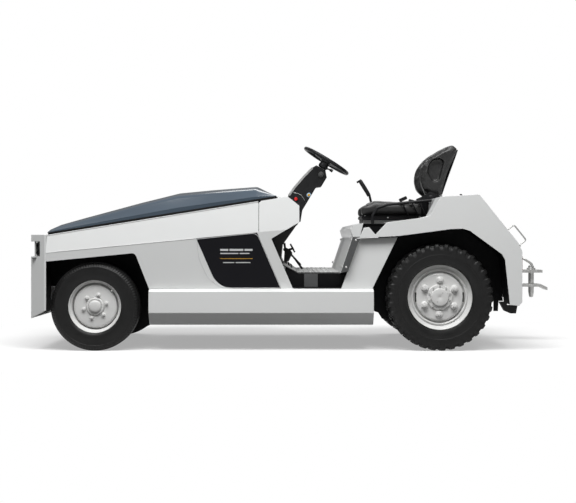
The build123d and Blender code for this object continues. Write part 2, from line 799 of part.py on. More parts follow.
# Headlamps: open boxes behind the two openings, with upright lamp bars inside
lamp_back = nose_x + lamp_depth
lamp = block(nose_x, lamp_back, lamp_inner_y - lamp_rim, half_width, lamp_bottom_z - lamp_rim,
             lamp_top_z + lamp_rim)
lamp -= block(nose_x - 1, lamp_back - lamp_rim, lamp_inner_y, half_width + 1, lamp_bottom_z, lamp_top_z)
for bar in range(2):
    bar_y = lamp_inner_y + lamp_bar_in + bar * lamp_bar_pitch
    lamp += block(nose_x + lamp_bar_front, lamp_back - lamp_rim / 2, bar_y, bar_y + lamp_bar_width,
                  lamp_bottom_z + lamp_bar_gap, lamp_top_z - lamp_bar_gap)
lamp &= prism_z(nose_plan(nose_wall, nose_rear_x), lamp_bottom_z - lamp_rim, lamp_top_z + lamp_rim)
save_pair("headlamps", lamp)

# Side panels from the nose to the seam, over the front arch and down to the sill
arch_rise = crease_z(front_axle_x) - arch_gap - sill_top_z + arch_foot_rise
arch_corner_x = front_axle_x + arch_rear - arch_rear_slant * arch_rise
cover_front_top_x = seam_x - pillar_seam_in - cover_length
cover_front_foot_x = cover_front_top_x + pillar_slant * (crease_z(cover_front_top_x) - sill_top_z)
side_outline = [
    (nose_rear_x, edge_z(nose_rear_x)), (seam_x, edge_z(seam_x)), (seam_x, crease_z(seam_x)),
    (cover_front_top_x, crease_z(cover_front_top_x)), (cover_front_foot_x, sill_top_z, cover_corner_r),
    (cover_front_foot_x + cover_foot_length, sill_top_z + cover_gap),
    (cover_front_foot_x + cover_foot_length, sill_top_z), (sill_front_x, sill_top_z),
    (arch_corner_x, arch_top_z(arch_corner_x), arch_corner_r),
    (nose_rear_x, arch_top_z(nose_rear_x)),
]
flange_low = [(nose_rear_x, edge_z(nose_rear_x) - skin_wall), (seam_x, edge_z(seam_x) - skin_wall),
              (seam_x, edge_z(seam_x)), (nose_rear_x, edge_z(nose_rear_x))]
top_inset = (edge_z(seam_x) - crease_z(seam_x)) * math.tan(upper_lean)
flange_outer = half_width - top_inset
flange = prism_y(flange_low, flange_outer - flange_width, flange_outer - flange_edge)
side_panel = side_skin(side_outline, skin_wall) + flange
save_pair("side_panels", side_panel)

# Black side covers between the side panel and the pillar
pillar_foot_x = pillar_front_x(sill_top_z)
cover_outline = [
    (cover_front_top_x + cover_gap, crease_z(cover_front_top_x) - cover_gap),
    (seam_x - pillar_seam_in, crease_z(seam_x - pillar_seam_in) - cover_gap),
    (pillar_foot_x - cover_gap, sill_top_z + cover_gap),
    (cover_front_foot_x + cover_gap, sill_top_z + cover_gap, cover_corner_r),
]
save_pair("side_covers", side_skin(cover_outline, skin_wall))

# Cowl sides with the slanted pillars
notch_z = crease_z(seam_x) - cowl_notch_drop
cowl_outline = [
    (seam_x, crease_z(seam_x)), (seam_x, edge_z(seam_x) - cowl_lip),
    (seam_x + cowl_lip_length, edge_z(seam_x + cowl_lip_length), cowl_corner_r),
    (cowl_top_x, edge_z(cowl_top_x), cowl_corner_r), (cowl_rear_x, cowl_shoulder_z, cowl_edge_r),
    (cowl_rear_x, cowl_chin_z, cowl_edge_r), (pillar_front_x(notch_z) + pillar_width, notch_z, cowl_notch_r),
    (pillar_front_x(sill_top_z) + pillar_width, sill_top_z), (pillar_front_x(sill_top_z), sill_top_z),
    (seam_x - pillar_seam_in + cover_gap, crease_z(seam_x - pillar_seam_in + cover_gap)),
]
save_pair("cowl_panels", side_skin(cowl_outline, skin_wall))

# Cowl bridge: the skin across the tractor behind the hood
bridge_y = half_width - panel_zone / 2
bridge_front_x = hood_rear_x + hinge_r
bridge_line = [(bridge_front_x, edge_z(bridge_front_x)), (cowl_top_x, edge_z(cowl_top_x)),
               (cowl_rear_x, cowl_shoulder_z), (cowl_rear_x, cowl_chin_z)]
bridge = prism_y(bent_plate(bridge_line, -skin_wall), -bridge_y, bridge_y)

# Hood hinges: a pin between two ears on the bridge, and a barrel on the hood
hinge_z = edge_z(hinge_x) + hinge_r + hinge_ear_gap
barrels = []
for hinge_side in (-1, 1):
    mid_y = hinge_side * hinge_y
    ear_y = hinge_length / 2 + hinge_ear_gap
    bridge += cross_rod(hinge_x, mid_y - ear_y, mid_y + ear_y, hinge_z, hinge_pin_r)
    for near_y in (mid_y - ear_y - hinge_ear, mid_y + ear_y):
        bridge += block(hinge_x - hinge_r + hinge_ear_gap, hinge_x + hinge_r, near_y, near_y + hinge_ear,
                        edge_z(hinge_x) - skin_wall / 2, hinge_z + hinge_r)
    barrel = cross_rod(hinge_x, mid_y - hinge_length / 2, mid_y + hinge_length / 2, hinge_z, hinge_r)
    barrel += block(hood_rear_x - hinge_leaf, hinge_x, mid_y - hinge_length / 2, mid_y + hinge_length / 2,
                    hinge_z + hinge_r - hinge_leaf, hinge_z + hinge_r)
    barrel -= cross_rod(hinge_x, mid_y - hinge_length, mid_y + hinge_length, hinge_z, hinge_pin_r + shaft_gap)
    barrels.append(barrel)
save("cowl_bridge", bridge)

# Dash panel: the black wall in front of the driver's feet, down to the slanted toe plate
toe_reach = 118.0
toe_rise = 60.0
toe_x = cowl_rear_x - toe_reach
toe_z = floor_z + toe_rise
heel_x = cowl_rear_x - 2.0
dash_lap = 30.0
dash_knee_in = 112.5
dash_knee_rise = 181.0
dash_line = [(cowl_rear_x - skin_wall, cowl_chin_z + dash_lap), (cowl_rear_x - skin_wall, cowl_chin_z - 1),
             (cowl_rear_x - dash_knee_in, floor_z + dash_knee_rise), (toe_x - skin_wall, toe_z - skin_wall)]
dash_y = step_y - 4.0
dash = prism_y(bent_plate(dash_line, -skin_wall), -dash_y, dash_y)

# Its cheeks close the gap to the pillars. Rows: x from the cowl's rear and height over the floor
dash_cheek_rows = [(-158, 54), (-223, 232), (-198, 272), (-18, 362)]
dash_cheek = prism_y(dash_line[1:] + placed(dash_cheek_rows, cowl_rear_x, floor_z) + [dash_line[0]],
                     dash_y - skin_wall, dash_y)
dash += dash_cheek + other_side(dash_cheek)
save("dash_panel", dash)

# Floor: a bent plate, slanted under the toes and flat to the seat box
floor_rear_x = pedestal_front_x - pedestal_lean
floor_line = [(toe_x, toe_z), (heel_x, floor_z), (floor_rear_x, floor_z)]
floor = prism_y(bent_plate(floor_line, -skin_wall), -step_y, step_y)
save("floor_plate", floor)

# Risers under the floor's edges and rubber strips on the steps
riser_toe = 90.0
riser_toe_rise = 30.0
riser_foot = 8.0
riser_top = 40.0
riser_outline = [(heel_x - riser_toe, sill_top_z), (floor_rear_x + riser_foot, sill_top_z),
                 (floor_rear_x + riser_top, floor_z - skin_wall), (heel_x - riser_foot, floor_z - skin_wall),
                 (heel_x - riser_toe, floor_z + riser_toe_rise)]
save_pair("step_risers", prism_y(riser_outline, step_y - frame_wall, step_y))
rubber_wall = 7.0
rubber_inner_gap = 6.0
rubber_outer_gap = 2.0
rubber_front_x = pillar_front_x(sill_top_z) + pillar_width + frame_wall
rubber_rear_x = floor_rear_x + 2.0
rubber = block(rubber_front_x, rubber_rear_x, step_y + rubber_inner_gap,
               half_width - sill_ledge - rubber_outer_gap, sill_top_z, sill_top_z + rubber_wall)

# Rubber buffers with a splash flap under the rear corners. Rows: x from the tail and height
# over the fender's foot
buffer_rows = [(-98, 1), (-98, -21), (-62, -21), (-62, 14), (-30, 14), (-30, -21), (-40, -74), (-75, -74),
               (-114, -57), (-146, 1)]
buffer_width = 54.0
fender_foot_z = 321.0
buffer = prism_y(placed(buffer_rows, tail_x, fender_foot_z), half_width - skin_wall - buffer_width,
                 half_width - skin_wall)
save("rubber_pads", rubber, other_side(rubber), buffer, other_side(buffer))

# Pedals: a hanging brake pedal and a hinged accelerator plate. Rows: x from the cowl's rear
# and height over the floor
brake_arm_rows = [(-100, 196), (-92, 140), (-38, 156)]
brake_pad_rows = [(-62, 186), (-52, 192), (-20, 132), (-30, 126)]
accelerator_rows = [(-56, 114), (-48, 120), (40, 8), (40, 0), (26, 0)]
brake_y = 60.0
brake_arm_r = 8.0
brake_arm_bend = 10.0
brake_pad_width = 90.0
accelerator_y = 165.0
accelerator_width = 70.0
brake_arm = bent_rod([(x, brake_y, z) for x, z in placed(brake_arm_rows, cowl_rear_x, floor_z)],
                     brake_arm_r, brake_arm_bend)
brake_pad = prism_y(placed(brake_pad_rows, cowl_rear_x, floor_z), brake_y - brake_pad_width / 2,
                    brake_y + brake_pad_width / 2)
accelerator = prism_y(placed(accelerator_rows, cowl_rear_x, floor_z), accelerator_y - accelerator_width / 2,
                      accelerator_y + accelerator_width / 2)
save("pedals", brake_arm + brake_pad - dash, accelerator)

# Seat box: front wall with its brow, and the deck that carries the seat. Rows: x from the
# pedestal's front and height over the deck
brow_rows = [(-4, -95), (-19, -40), (0, -12), (60, 0)]
deck_in = 12.0
deck_clear = 10.0
box_side_gap = 32.0
box_line = [(floor_rear_x, floor_z)] + placed(brow_rows, pedestal_front_x, seat_deck_z)
deck_rear_x = rear_axle_x - deck_in
box_line += [(deck_rear_x, seat_deck_z)]
box_y = half_width - box_side_gap
box = prism_y(bent_plate(box_line, -skin_wall), -box_y, box_y)
deck_front_x = pedestal_front_x + brow_rows[-1][0]
side_clear = block(deck_front_x, deck_rear_x + deck_clear, inner_arch_y - skin_wall, half_width + skin_wall,
                   floor_z, seat_deck_z + skin_wall)
box -= side_clear
box -= other_side(side_clear)

# Trays behind the fenders' notches: an inner wall, a floor and a wall at each end
tray_drop = 83.0
tray_length = 165.0
tray_inner_y = inner_arch_y - 3 * skin_wall
tray_z = seat_deck_z - tray_drop
tray_rear_x = deck_front_x + tray_length
tray = block(deck_front_x, tray_rear_x, tray_inner_y, tray_inner_y + skin_wall, tray_z, seat_deck_z)
tray += block(deck_front_x - skin_wall, tray_rear_x, tray_inner_y, half_width - skin_wall - seat_gap,
              tray_z - skin_wall, tray_z)
tray += block(deck_front_x - skin_wall, deck_front_x, tray_inner_y, box_y, tray_z - skin_wall, seat_deck_z - 1)
tray += block(tray_rear_x - skin_wall, tray_rear_x, tray_inner_y, half_width - skin_wall - seat_gap,
              tray_z - skin_wall, seat_deck_z - skin_wall)
box += tray + other_side(tray)
save("seat_box", box)

# Seat box sides: slanted panels between the step and the rear arch
side_drop = 101.0
side_top_in = 40.5
side_foot_out = 78.0
side_rear_top_in = 277.0
side_rear_rise = 394.0
side_rear_foot_in = 441.5
side_top_front = (pedestal_front_x + side_top_in, seat_deck_z - side_drop)
side_top_rear = (rear_axle_x - side_rear_top_in, rear_tyre_r + side_rear_rise)
side_foot_rear = (rear_axle_x - side_rear_foot_in, sill_top_z)
side_foot_front = (pedestal_front_x - side_foot_out, sill_top_z)
box_side_y = half_width - sill_ledge
box_side = prism_y([side_top_front, side_top_rear, side_foot_rear, side_foot_front], box_side_y - skin_wall,
                   box_side_y)
save_pair("seat_box_sides", box_side)

# Rear fenders: a side plate cut out over the wheel, and the skin that follows its outline.
# Rows of the top line: x from the rear axle and height over the seat deck.
# Rows of the arch: x and height from the rear axle.
fender_nose_rows = [(-527, -88), (-501, -31), (-467, -26)]
fender_low_rows = [(-425, -74), (-351, 5), (-136, 33), (-68, 49)]
fender_high_rows = [(-1, 173), (251, 187), (504, -128)]
rear_arch_rows = [(449, -48), (418, 243), (399, 281), (189, 434), (142, 448), (66, 445), (-277, 400)]
fender_tip = (-526, -97)
tail_drop = 185.0
foot_in = 21.0
foot_drop = 24.0
fender_nose_line = placed(fender_nose_rows, rear_axle_x, seat_deck_z)
fender_low_line = placed(fender_low_rows, rear_axle_x, seat_deck_z)
fender_high_line = placed(fender_high_rows, rear_axle_x, seat_deck_z)
fender_high_line += [(tail_x, seat_deck_z - tail_drop), (tail_x, fender_foot_z)]
rear_arch_line = placed(rear_arch_rows, rear_axle_x, rear_tyre_r)
fender_outline = fender_nose_line + fender_low_line + fender_high_line
fender_outline += [(tail_x - foot_in, fender_foot_z - foot_drop)] + rear_arch_line
fender_outline += placed([fender_tip], rear_axle_x, seat_deck_z)
fender_plate = prism_y(fender_outline, half_width - skin_wall, half_width)
fender_skin = prism_y(bent_plate(fender_high_line, -skin_wall), inner_arch_y, half_width)
fender_low_skin = prism_y(bent_plate(fender_low_line[1:] + fender_high_line[:1], -skin_wall), inner_arch_y,
                          half_width)
save_pair("rear_fenders", fender_plate + fender_skin + fender_low_skin)

# Rear panel: the skin between the fenders, from the seat deck over the top to the tow hitch
tail_line = [(deck_rear_x, seat_deck_z - skin_wall)] + fender_high_line
tail_skin = prism_y(bent_plate(tail_line, -skin_wall), -(inner_arch_y - seat_gap), inner_arch_y - seat_gap)
save("rear_panel", tail_skin)

# Wheel arch liners, with cheeks from a height over the rail or the axle,
# and splash plates below them. Rows of the splash plates: x from the sill's front end and
# height over the floor at the front, x and height from the axle at the rear.
cheek_lap = 20.0
rear_cheek_rise = 94.0
front_splash_rows = [(3, 179), (-2, 179), (-2, 162), (-129, 98), (-146, 98)]
front_splash_top = rail_bottom_z + 2 * cheek_lap
rear_splash_rows = [(-418, 110), (-433, 50), (-433, -86), (-409, -106), (-388, -112), (-362, -154),
                    (-298, -154), (-298, 110)]
tail_splash_rows = [(202, 110), (202, -20), (388, -35), (388, -103), (418, -103), (422, -35), (452, -35),
                    (436, 110)]
wall_foot = -92.0
liner_front_x = nose_rear_x - nose_lap
front_arch_line = [(sill_front_x - 1, sill_top_z + 2), (arch_corner_x, arch_top_z(arch_corner_x)),
                   (liner_front_x, arch_top_z(liner_front_x)), (liner_front_x, liner_foot_z)]
liner_space = prism_z(nose_plan(liner_nose_gap, nose_rear_x), 0, nose_top_z)
liner_space += block(nose_rear_x, bulkhead_x, -half_width, half_width, 0, nose_top_z)
front_shell_line = moved_line(front_arch_line, -liner_gap)
front_shell_line = [(min(x, bulkhead_x - liner_wall - 1), z) for x, z in front_shell_line]
front_liner = prism_y(bent_plate(front_shell_line, -liner_wall), arch_inner_y, half_width)
front_liner = within_side(front_liner, skin_wall) & liner_space
front_cheek = prism_y(moved_line(front_shell_line, -liner_wall), arch_inner_y - liner_wall, arch_inner_y)
front_cheek = cut_beyond(front_cheek, (0, 0, rail_bottom_z + cheek_lap), (0, 0, -1))
front_splash_line = placed(front_splash_rows, sill_front_x, 0)
front_splash_line += [(front_splash_line[-1][0], front_splash_top), (front_splash_line[0][0], front_splash_top)]
front_splash = prism_y(front_splash_line, arch_inner_y - liner_wall, arch_inner_y)
save_pair("front_arch_liners", front_liner + front_cheek + front_splash)

rear_shell_line = moved_line(rear_arch_line + [side_foot_rear], -liner_gap)
rear_top_line = moved_line(rear_arch_line, -liner_gap)
rear_liner = prism_y(bent_plate(rear_shell_line, -liner_wall), inner_arch_y - skin_wall, box_side_y - skin_wall)
rear_liner += prism_y(bent_plate(rear_top_line, -liner_wall), inner_arch_y, half_width - skin_wall)
rear_cheek = prism_y(moved_line(rear_shell_line, -liner_wall), inner_arch_y - 2 * skin_wall,
                     inner_arch_y - skin_wall)
rear_cheek = cut_beyond(rear_cheek, (0, 0, rear_tyre_r + rear_cheek_rise), (0, 0, -1))
wall_x = sill_rear_x + seat_gap
rear_liner += block(wall_x, wall_x + liner_wall, inner_arch_y - 2 * skin_wall, box_side_y - skin_wall,
                    rear_tyre_r + wall_foot, sill_top_z)
for rows in (rear_splash_rows, tail_splash_rows):
    rear_cheek += prism_y(placed(rows, rear_axle_x, rear_tyre_r), inner_arch_y - 2 * skin_wall,
                          inner_arch_y - skin_wall)
save_pair("rear_arch_liners", rear_liner + rear_cheek)


# Hood: sections across the tractor. Columns: x from the seam, shoulder inset, shoulder rise,
# crown inset, crown rise, all above the seal's top
hood_stations = [
    (nose_rear_x - 12 - seam_x, 30, 10, 150, 16),
    (nose_rear_x + 60 - seam_x, 44, 31, 200, 48),
    (nose_rear_x + 340 - seam_x, 52, 60, 240, 84),
    (nose_rear_x + 590 - seam_x, 56, 86, 260, 113),
    (nose_rear_x + 840 - seam_x, 60, 108, 280, 136),
    (nose_rear_x + 1060 - seam_x, 60, 92, 280, 122),
    (-12, 60, 66, 280, 95),
    (117, 60, 6, 280, 9),
]
hood_half = flange_outer - hood_side_inset


def hood_section(station, inset):
    offset, shoulder_in, shoulder_up, crown_in, crown_up = station
    x = seam_x + offset
    foot = edge_z(x) + seal_height
    rise = [(hood_half - inset, foot), (hood_half - shoulder_in - inset, foot + shoulder_up - inset),
            (hood_half - crown_in - inset, foot + crown_up - inset)]
    ring = [(x, y, z) for y, z in rise] + [(x, -y, z) for y, z in reversed(rise)]
    return make_face(Polyline(*ring, close=True))


def hood_solid(stations, inset):
    pieces = [loft([hood_section(first, inset), hood_section(second, inset)], ruled=True)
              for first, second in zip(stations, stations[1:])]
    solid = pieces[0]
    for piece in pieces[1:]:
        solid += piece
    return solid


hood_inside = [(station[0] + shift,) + station[1:] for station, shift in zip(
    hood_stations, (2 * hood_wall, 0, 0, 0, 0, 0, -hood_wall, -2 * hood_wall))]
hood = hood_solid(hood_stations, 0) - hood_solid(hood_inside, hood_wall)
for barrel in barrels:
    hood += barrel
save("hood", hood)

# Seal strips between the panels' top flange and the hood
seal_low = [(nose_rear_x + 4, edge_z(nose_rear_x + 4)), (hood_rear_x, edge_z(hood_rear_x)),
            (hood_rear_x, edge_z(hood_rear_x) + seal_height - seat_gap),
            (nose_rear_x + 4, edge_z(nose_rear_x + 4) + seal_height - seat_gap)]
seal = prism_y(seal_low, hood_half - seal_width, hood_half)
save_pair("hood_seals", seal)

# Steering column cover on the cowl bridge. Rows: x from the cowl's rear and height over its shoulder
column_rows = [
    (-72, 95), (-34, 149), (37, 231), (97, 289), (140, 313), (190, 283), (202, 220), (163, 155), (125, 149),
    (76, 67), (29, -12), (26, -29), (16, -93), (0, -99), (0, 0),
]
column_outline = [(cowl_top_x, edge_z(cowl_top_x))] + placed(column_rows, cowl_rear_x, cowl_shoulder_z)
column = prism_y(column_outline, -column_width / 2, column_width / 2)
axis_x = math.sin(column_tilt)
axis_z = math.cos(column_tilt)


def on_axis(distance):
    return (wheel_centre_x - distance * axis_x, 0, wheel_centre_z - distance * axis_z)


column = cut_beyond(column, on_axis(wheel_boss_length + column_gap), (axis_x, 0, axis_z))
column += rod(on_axis(wheel_boss_length + 2 * column_shaft_r), on_axis(wheel_boss_length - column_shaft_out),
              column_shaft_r)
save("steering_column", column)

# Steering wheel: rim, three spokes and boss
wheel_plane = Plane(origin=(wheel_centre_x, 0, wheel_centre_z), x_dir=(axis_z, 0, -axis_x),
                    z_dir=(axis_x, 0, axis_z))
steering_wheel = wheel_plane * Torus(wheel_rim_r, wheel_tube_r)
steering_wheel += rod(on_axis(wheel_boss_length), on_axis(-wheel_boss_top), wheel_boss_r)
for turn in spoke_turns:
    spoke = Pos(wheel_rim_r / 2, 0, 0) * Box(wheel_rim_r, spoke_width, spoke_wall)
    steering_wheel += wheel_plane * Rot(0, 0, turn) * spoke
steering_wheel -= rod(on_axis(wheel_boss_length + 5), on_axis(wheel_boss_length - column_shaft_out - 4),
                      column_shaft_r + shaft_gap)
save("steering_wheel", steering_wheel)

# Seat: slides, cushion, backrest with its bracket
cushion_rear_x = cushion_front_x + cushion_length
seat_base = block(cushion_front_x + seat_base_inset, cushion_rear_x - seat_base_inset, -seat_base_width / 2,
                  seat_base_width / 2, seat_deck_z, cushion_bottom_z - seat_gap)
save("seat_base", seat_base)
cushion_rear_height = 100.0
cushion_front_height = 75.0
cushion_crown_in = 90.0
cushion_crown_r = 50.0
cushion_nose_r = 40.0
cushion_crown_x = cushion_front_x + cushion_crown_in
cushion = prism_y([(cushion_front_x, cushion_bottom_z), (cushion_rear_x, cushion_bottom_z),
                   (cushion_rear_x, cushion_bottom_z + cushion_rear_height),
                   (cushion_crown_x, cushion_bottom_z + cushion_height, cushion_crown_r),
                   (cushion_front_x, cushion_bottom_z + cushion_front_height, cushion_nose_r)],
                  -cushion_width / 2, cushion_width / 2)
save("seat_cushion", cushion)

# Rows: x from the cushion's rear and height over the cushion's foot
bracket_top_rows = [(48, 125), (6, 120)]
backrest_rows = [(-14, 218, 40), (-22, 295, 60), (-4, 360, 60), (52, 425, 60), (128, 468, 60), (206, 507, 14),
                 (250, 474, 14), (236, 426), (185, 286, 60), (160, 210), (126, 144)]
backrest_foot = placed(bracket_top_rows, cushion_rear_x, cushion_bottom_z + seat_gap)
backrest_outline = backrest_foot[1:] + placed(backrest_rows, cushion_rear_x, cushion_bottom_z)
backrest_outline += backrest_foot[:1]
backrest = prism_y(backrest_outline, -backrest_width / 2, backrest_width / 2)
save("seat_backrest", backrest)
bracket_front_gap = 4.0
bracket_wall = 36.0
bracket_x = cushion_rear_x + bracket_front_gap
bracket_outline = [(bracket_x, seat_deck_z), (bracket_x + bracket_wall, seat_deck_z)]
bracket_outline += placed(bracket_top_rows, cushion_rear_x, cushion_bottom_z)
save("seat_bracket", prism_y(bracket_outline, -seat_bracket_width / 2, seat_bracket_width / 2))

# Hip guard rails beside the seat. Rows: x from the rear axle and height over the deck
guard_rail_rows = [(-414, 0), (-414, 55), (-382, 110), (-312, 133), (-10, 163)]
guard_rail_path = [(x, guard_rail_y, z) for x, z in placed(guard_rail_rows, rear_axle_x, seat_deck_z)]
save_pair("guard_rails", bent_rod(guard_rail_path, guard_rail_r, guard_rail_bend))

# Parking brake lever beside the seat. Rows: x from the rear axle and height over the deck
lever_rows = [(-378, 0), (-378, 165), (-393, 229), (-458, 330)]
lever_path = [(x, lever_y, z) for x, z in placed(lever_rows, rear_axle_x, seat_deck_z)]
save("parking_brake_lever", bent_rod(lever_path, lever_r, lever_bend))

# Tow hitch: back plate and two jaw plates with the pin's holes
hitch_back_y = hitch_width / 2 + hitch_back_edge
hitch = block(tail_x, tail_x + hitch_back_wall, -hitch_back_y, hitch_back_y, hitch_lower_z - hitch_back_low,
              hitch_upper_z + hitch_back_high)
hitch += block(tail_x, tail_x + hitch_upper_reach, -hitch_width / 2, hitch_width / 2, hitch_upper_z,
               hitch_upper_z + hitch_wall)
lower_tip_x = tail_x + hitch_lower_reach
lip_z = hitch_lower_z - hitch_lip_drop
hitch += prism_y([(tail_x, hitch_lower_z + hitch_wall), (tail_x, hitch_lower_z), (lower_tip_x, hitch_lower_z),
                  (tail_x + hitch_reach, lip_z), (tail_x + hitch_reach, lip_z + hitch_wall),
                  (lower_tip_x, hitch_lower_z + hitch_wall)], -hitch_width / 2, hitch_width / 2)
hitch -= upright_rod(hitch_pin_x, 0, hitch_lower_z - hitch_wall, hitch_upper_z + 2 * hitch_wall,
                     hitch_pin_r + seat_gap)
save("tow_hitch", hitch)
pin_seat_z = hitch_upper_z + hitch_wall
pin_grip_reach = 80.0
pin_grip_rise = 50.0
pin_grip_start = (hitch_pin_x + hitch_collar, 0, pin_seat_z + hitch_pin_top + 2)
pin_grip_end = (hitch_pin_x - pin_grip_reach, 0, pin_grip_start[2] + pin_grip_rise)
pin = upright_rod(hitch_pin_x, 0, hitch_pin_foot_z, pin_seat_z + hitch_pin_top, hitch_pin_r)
pin += upright_rod(hitch_pin_x, 0, pin_seat_z, pin_seat_z + hitch_collar_height, hitch_pin_r + hitch_collar)
pin += rod(pin_grip_start, pin_grip_end, hitch_grip_r)
save("hitch_pin", pin)

# Grab handles on the rear slope, one at each side
slope_start = fender_high_line[1]
slope_end = fender_high_line[2]
slope_length = math.hypot(slope_end[0] - slope_start[0], slope_end[1] - slope_start[1])
down = ((slope_end[0] - slope_start[0]) / slope_length, (slope_end[1] - slope_start[1]) / slope_length)
away = (-down[1], down[0])


def on_slope(along, out):
    x = slope_end[0] + along * down[0] + out * away[0]
    z = slope_end[1] + along * down[1] + out * away[1]
    return (x, handle_y, z)


handle_path = [on_slope(handle_upper, 0), on_slope(handle_upper, handle_out), on_slope(handle_lower, handle_out),
               on_slope(handle_lower, 0)]
save_pair("grab_handles", bent_rod(handle_path, handle_r, handle_bend))

# Rear lamps on the upright tail face
rear_lamp_outer_y = half_width - rear_lamp_side_gap
rear_lamp = block(tail_x, tail_x + rear_lamp_depth, rear_lamp_outer_y - rear_lamp_width, rear_lamp_outer_y,
                  rear_lamp_bottom_z, rear_lamp_bottom_z + rear_lamp_height)
save_pair("rear_lamps", rear_lamp)
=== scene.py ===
import json
import math

import bmesh
import bpy
from mathutils import Matrix, Vector


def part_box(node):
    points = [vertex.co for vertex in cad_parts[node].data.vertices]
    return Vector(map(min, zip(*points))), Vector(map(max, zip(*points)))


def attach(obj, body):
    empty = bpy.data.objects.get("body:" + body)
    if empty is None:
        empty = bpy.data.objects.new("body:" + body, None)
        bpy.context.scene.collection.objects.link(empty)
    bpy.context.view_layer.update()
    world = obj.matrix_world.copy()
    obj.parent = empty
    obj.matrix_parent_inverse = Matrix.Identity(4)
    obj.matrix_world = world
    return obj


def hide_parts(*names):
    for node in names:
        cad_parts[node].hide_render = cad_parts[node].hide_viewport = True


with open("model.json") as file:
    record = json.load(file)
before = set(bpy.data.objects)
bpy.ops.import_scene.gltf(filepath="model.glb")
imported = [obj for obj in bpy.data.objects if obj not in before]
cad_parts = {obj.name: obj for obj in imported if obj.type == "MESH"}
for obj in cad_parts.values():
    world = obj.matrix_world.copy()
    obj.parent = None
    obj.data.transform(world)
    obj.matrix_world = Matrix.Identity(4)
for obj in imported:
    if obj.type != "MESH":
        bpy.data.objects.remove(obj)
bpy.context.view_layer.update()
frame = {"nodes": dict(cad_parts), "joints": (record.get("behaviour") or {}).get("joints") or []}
nodes = frame["nodes"]

# Metres, +Z up, nose towards -X, driver's left towards -Y. Places come from the frame.
leftward, upward = (0, -1, 0), (0, 0, 1)
merge_distance = 1e-5


# Shapes: a part is a list of corners and a list of faces, joined into one mesh by piece()
def joined(*parts):
    verts, faces = [], []
    for part_verts, part_faces in parts:
        start = len(verts)
        verts += part_verts
        faces += [tuple(start + index for index in face) for face in part_faces]
    return verts, faces


def moved(part, matrix):
    return [tuple(matrix @ Vector(vert)) for vert in part[0]], part[1]


def shifted(part, x, y, z):
    return moved(part, Matrix.Translation((x, y, z)))


def mirrored(part):
    return [(x, -y, z) for x, y, z in part[0]], part[1]


def both_sides(part):
    return joined(part, mirrored(part))


def arc(before, here, after, run, steps):
    """A smooth turn at a corner, which starts and ends a run away from it."""
    start = here + (before - here).normalized() * run
    end = here + (after - here).normalized() * run
    way = [step / steps for step in range(steps + 1)]
    return [start * (1 - t) ** 2 + here * 2 * t * (1 - t) + end * t ** 2 for t in way]


def rounded(points, steps=4):
    """A closed outline whose corners with a third value become an arc of that radius."""
    out = []
    count = len(points)
    for place, point in enumerate(points):
        radius = point[2] if len(point) > 2 else 0
        here, before, after = [Vector(points[at % count][:2]) for at in (place, place - 1, place + 1)]
        back, on = before - here, after - here
        half = back.angle(on, 0) / 2
        if not radius or not 0.01 <= half <= math.pi / 2 - 0.01:
            out.append(tuple(here))
            continue
        run = min(radius / math.tan(half), 0.49 * back.length, 0.49 * on.length)
        out += [tuple(spot) for spot in arc(before, here, after, run, steps)]
    return out


def rounded_path(points, radius, steps=5):
    """A bent line through points in space, its corners replaced by arcs."""
    points = [Vector(point) for point in points]
    out = [points[0]]
    for before, here, after in zip(points, points[1:], points[2:]):
        run = min(radius, 0.49 * (before - here).length, 0.49 * (after - here).length)
        out += arc(before, here, after, run, steps)
    return out + [points[-1]]


def mm(rows, x=0.0, z=0.0):
    """Rows of two places and an optional radius in millimetres, as metres from a point."""
    return [(x + row[0] / 1000, z + row[1] / 1000) + tuple(value / 1000 for value in row[2:]) for row in rows]


def slab(outline, y_low, y_high):
    """An outline in x and z, drawn out along y."""
    count = len(outline)
    verts = [(x, y_low, z) for x, z in outline] + [(x, y_high, z) for x, z in outline]
    faces = [tuple(range(count)), tuple(range(2 * count - 1, count - 1, -1))]
    for place in range(count):
        after = (place + 1) % count
        faces.append((place, place + count, after + count, after))
    return verts, faces


def brick(low, high):
    outline = [(low[0], low[2]), (high[0], low[2]), (high[0], high[2]), (low[0], high[2])]
    return slab(outline, low[1], high[1])


def ring(profile, steps=64, closed=False):
    """A profile of radius and offset, turned about the y axis."""
    count = len(profile)
    verts = []
    for step in range(steps):
        angle = 2 * math.pi * step / steps
        verts += [(radius * math.cos(angle), offset, radius * math.sin(angle)) for radius, offset in profile]
    rows = count if closed else count - 1
    faces = []
    for step in range(steps):
        first, second = step * count, (step + 1) % steps * count
        for row in range(rows):
            after = (row + 1) % count
            faces.append((first + row, first + after, second + after, second + row))
    return verts, faces


def tube(points, radius, sides=14):
    """A round bar along a line in space. The radius may be one value or one for each point."""
    points = [Vector(point) for point in points]
    radii = radius if isinstance(radius, (list, tuple)) else [radius] * len(points)
    verts, faces = [], []
    run = (points[1] - points[0]).normalized()
    across = run.orthogonal().normalized()
    for place, point in enumerate(points):
        before = points[max(place - 1, 0)]
        after = points[min(place + 1, len(points) - 1)]
        run = (after - before).normalized()
        across = (across - run * across.dot(run)).normalized()
        other = run.cross(across)
        for side in range(sides):
            angle = 2 * math.pi * side / sides
            spoke = across * math.cos(angle) + other * math.sin(angle)
            verts.append(tuple(point + spoke * radii[place]))
    for place in range(len(points) - 1):
        for side in range(sides):
            after = (side + 1) % sides
            first, second = place * sides, (place + 1) * sides
            faces.append((first + side, first + after, second + after, second + side))
    faces.append(tuple(range(sides - 1, -1, -1)))
    faces.append(tuple(range((len(points) - 1) * sides, len(points) * sides)))
    return verts, faces


def along(part, place, direction):
    """Turns a part made about the y axis so that +y points in a direction, and moves it to a place."""
    turn = Vector((0, 1, 0)).rotation_difference(Vector(direction)).to_matrix().to_4x4()
    return moved(part, Matrix.Translation(place) @ turn)


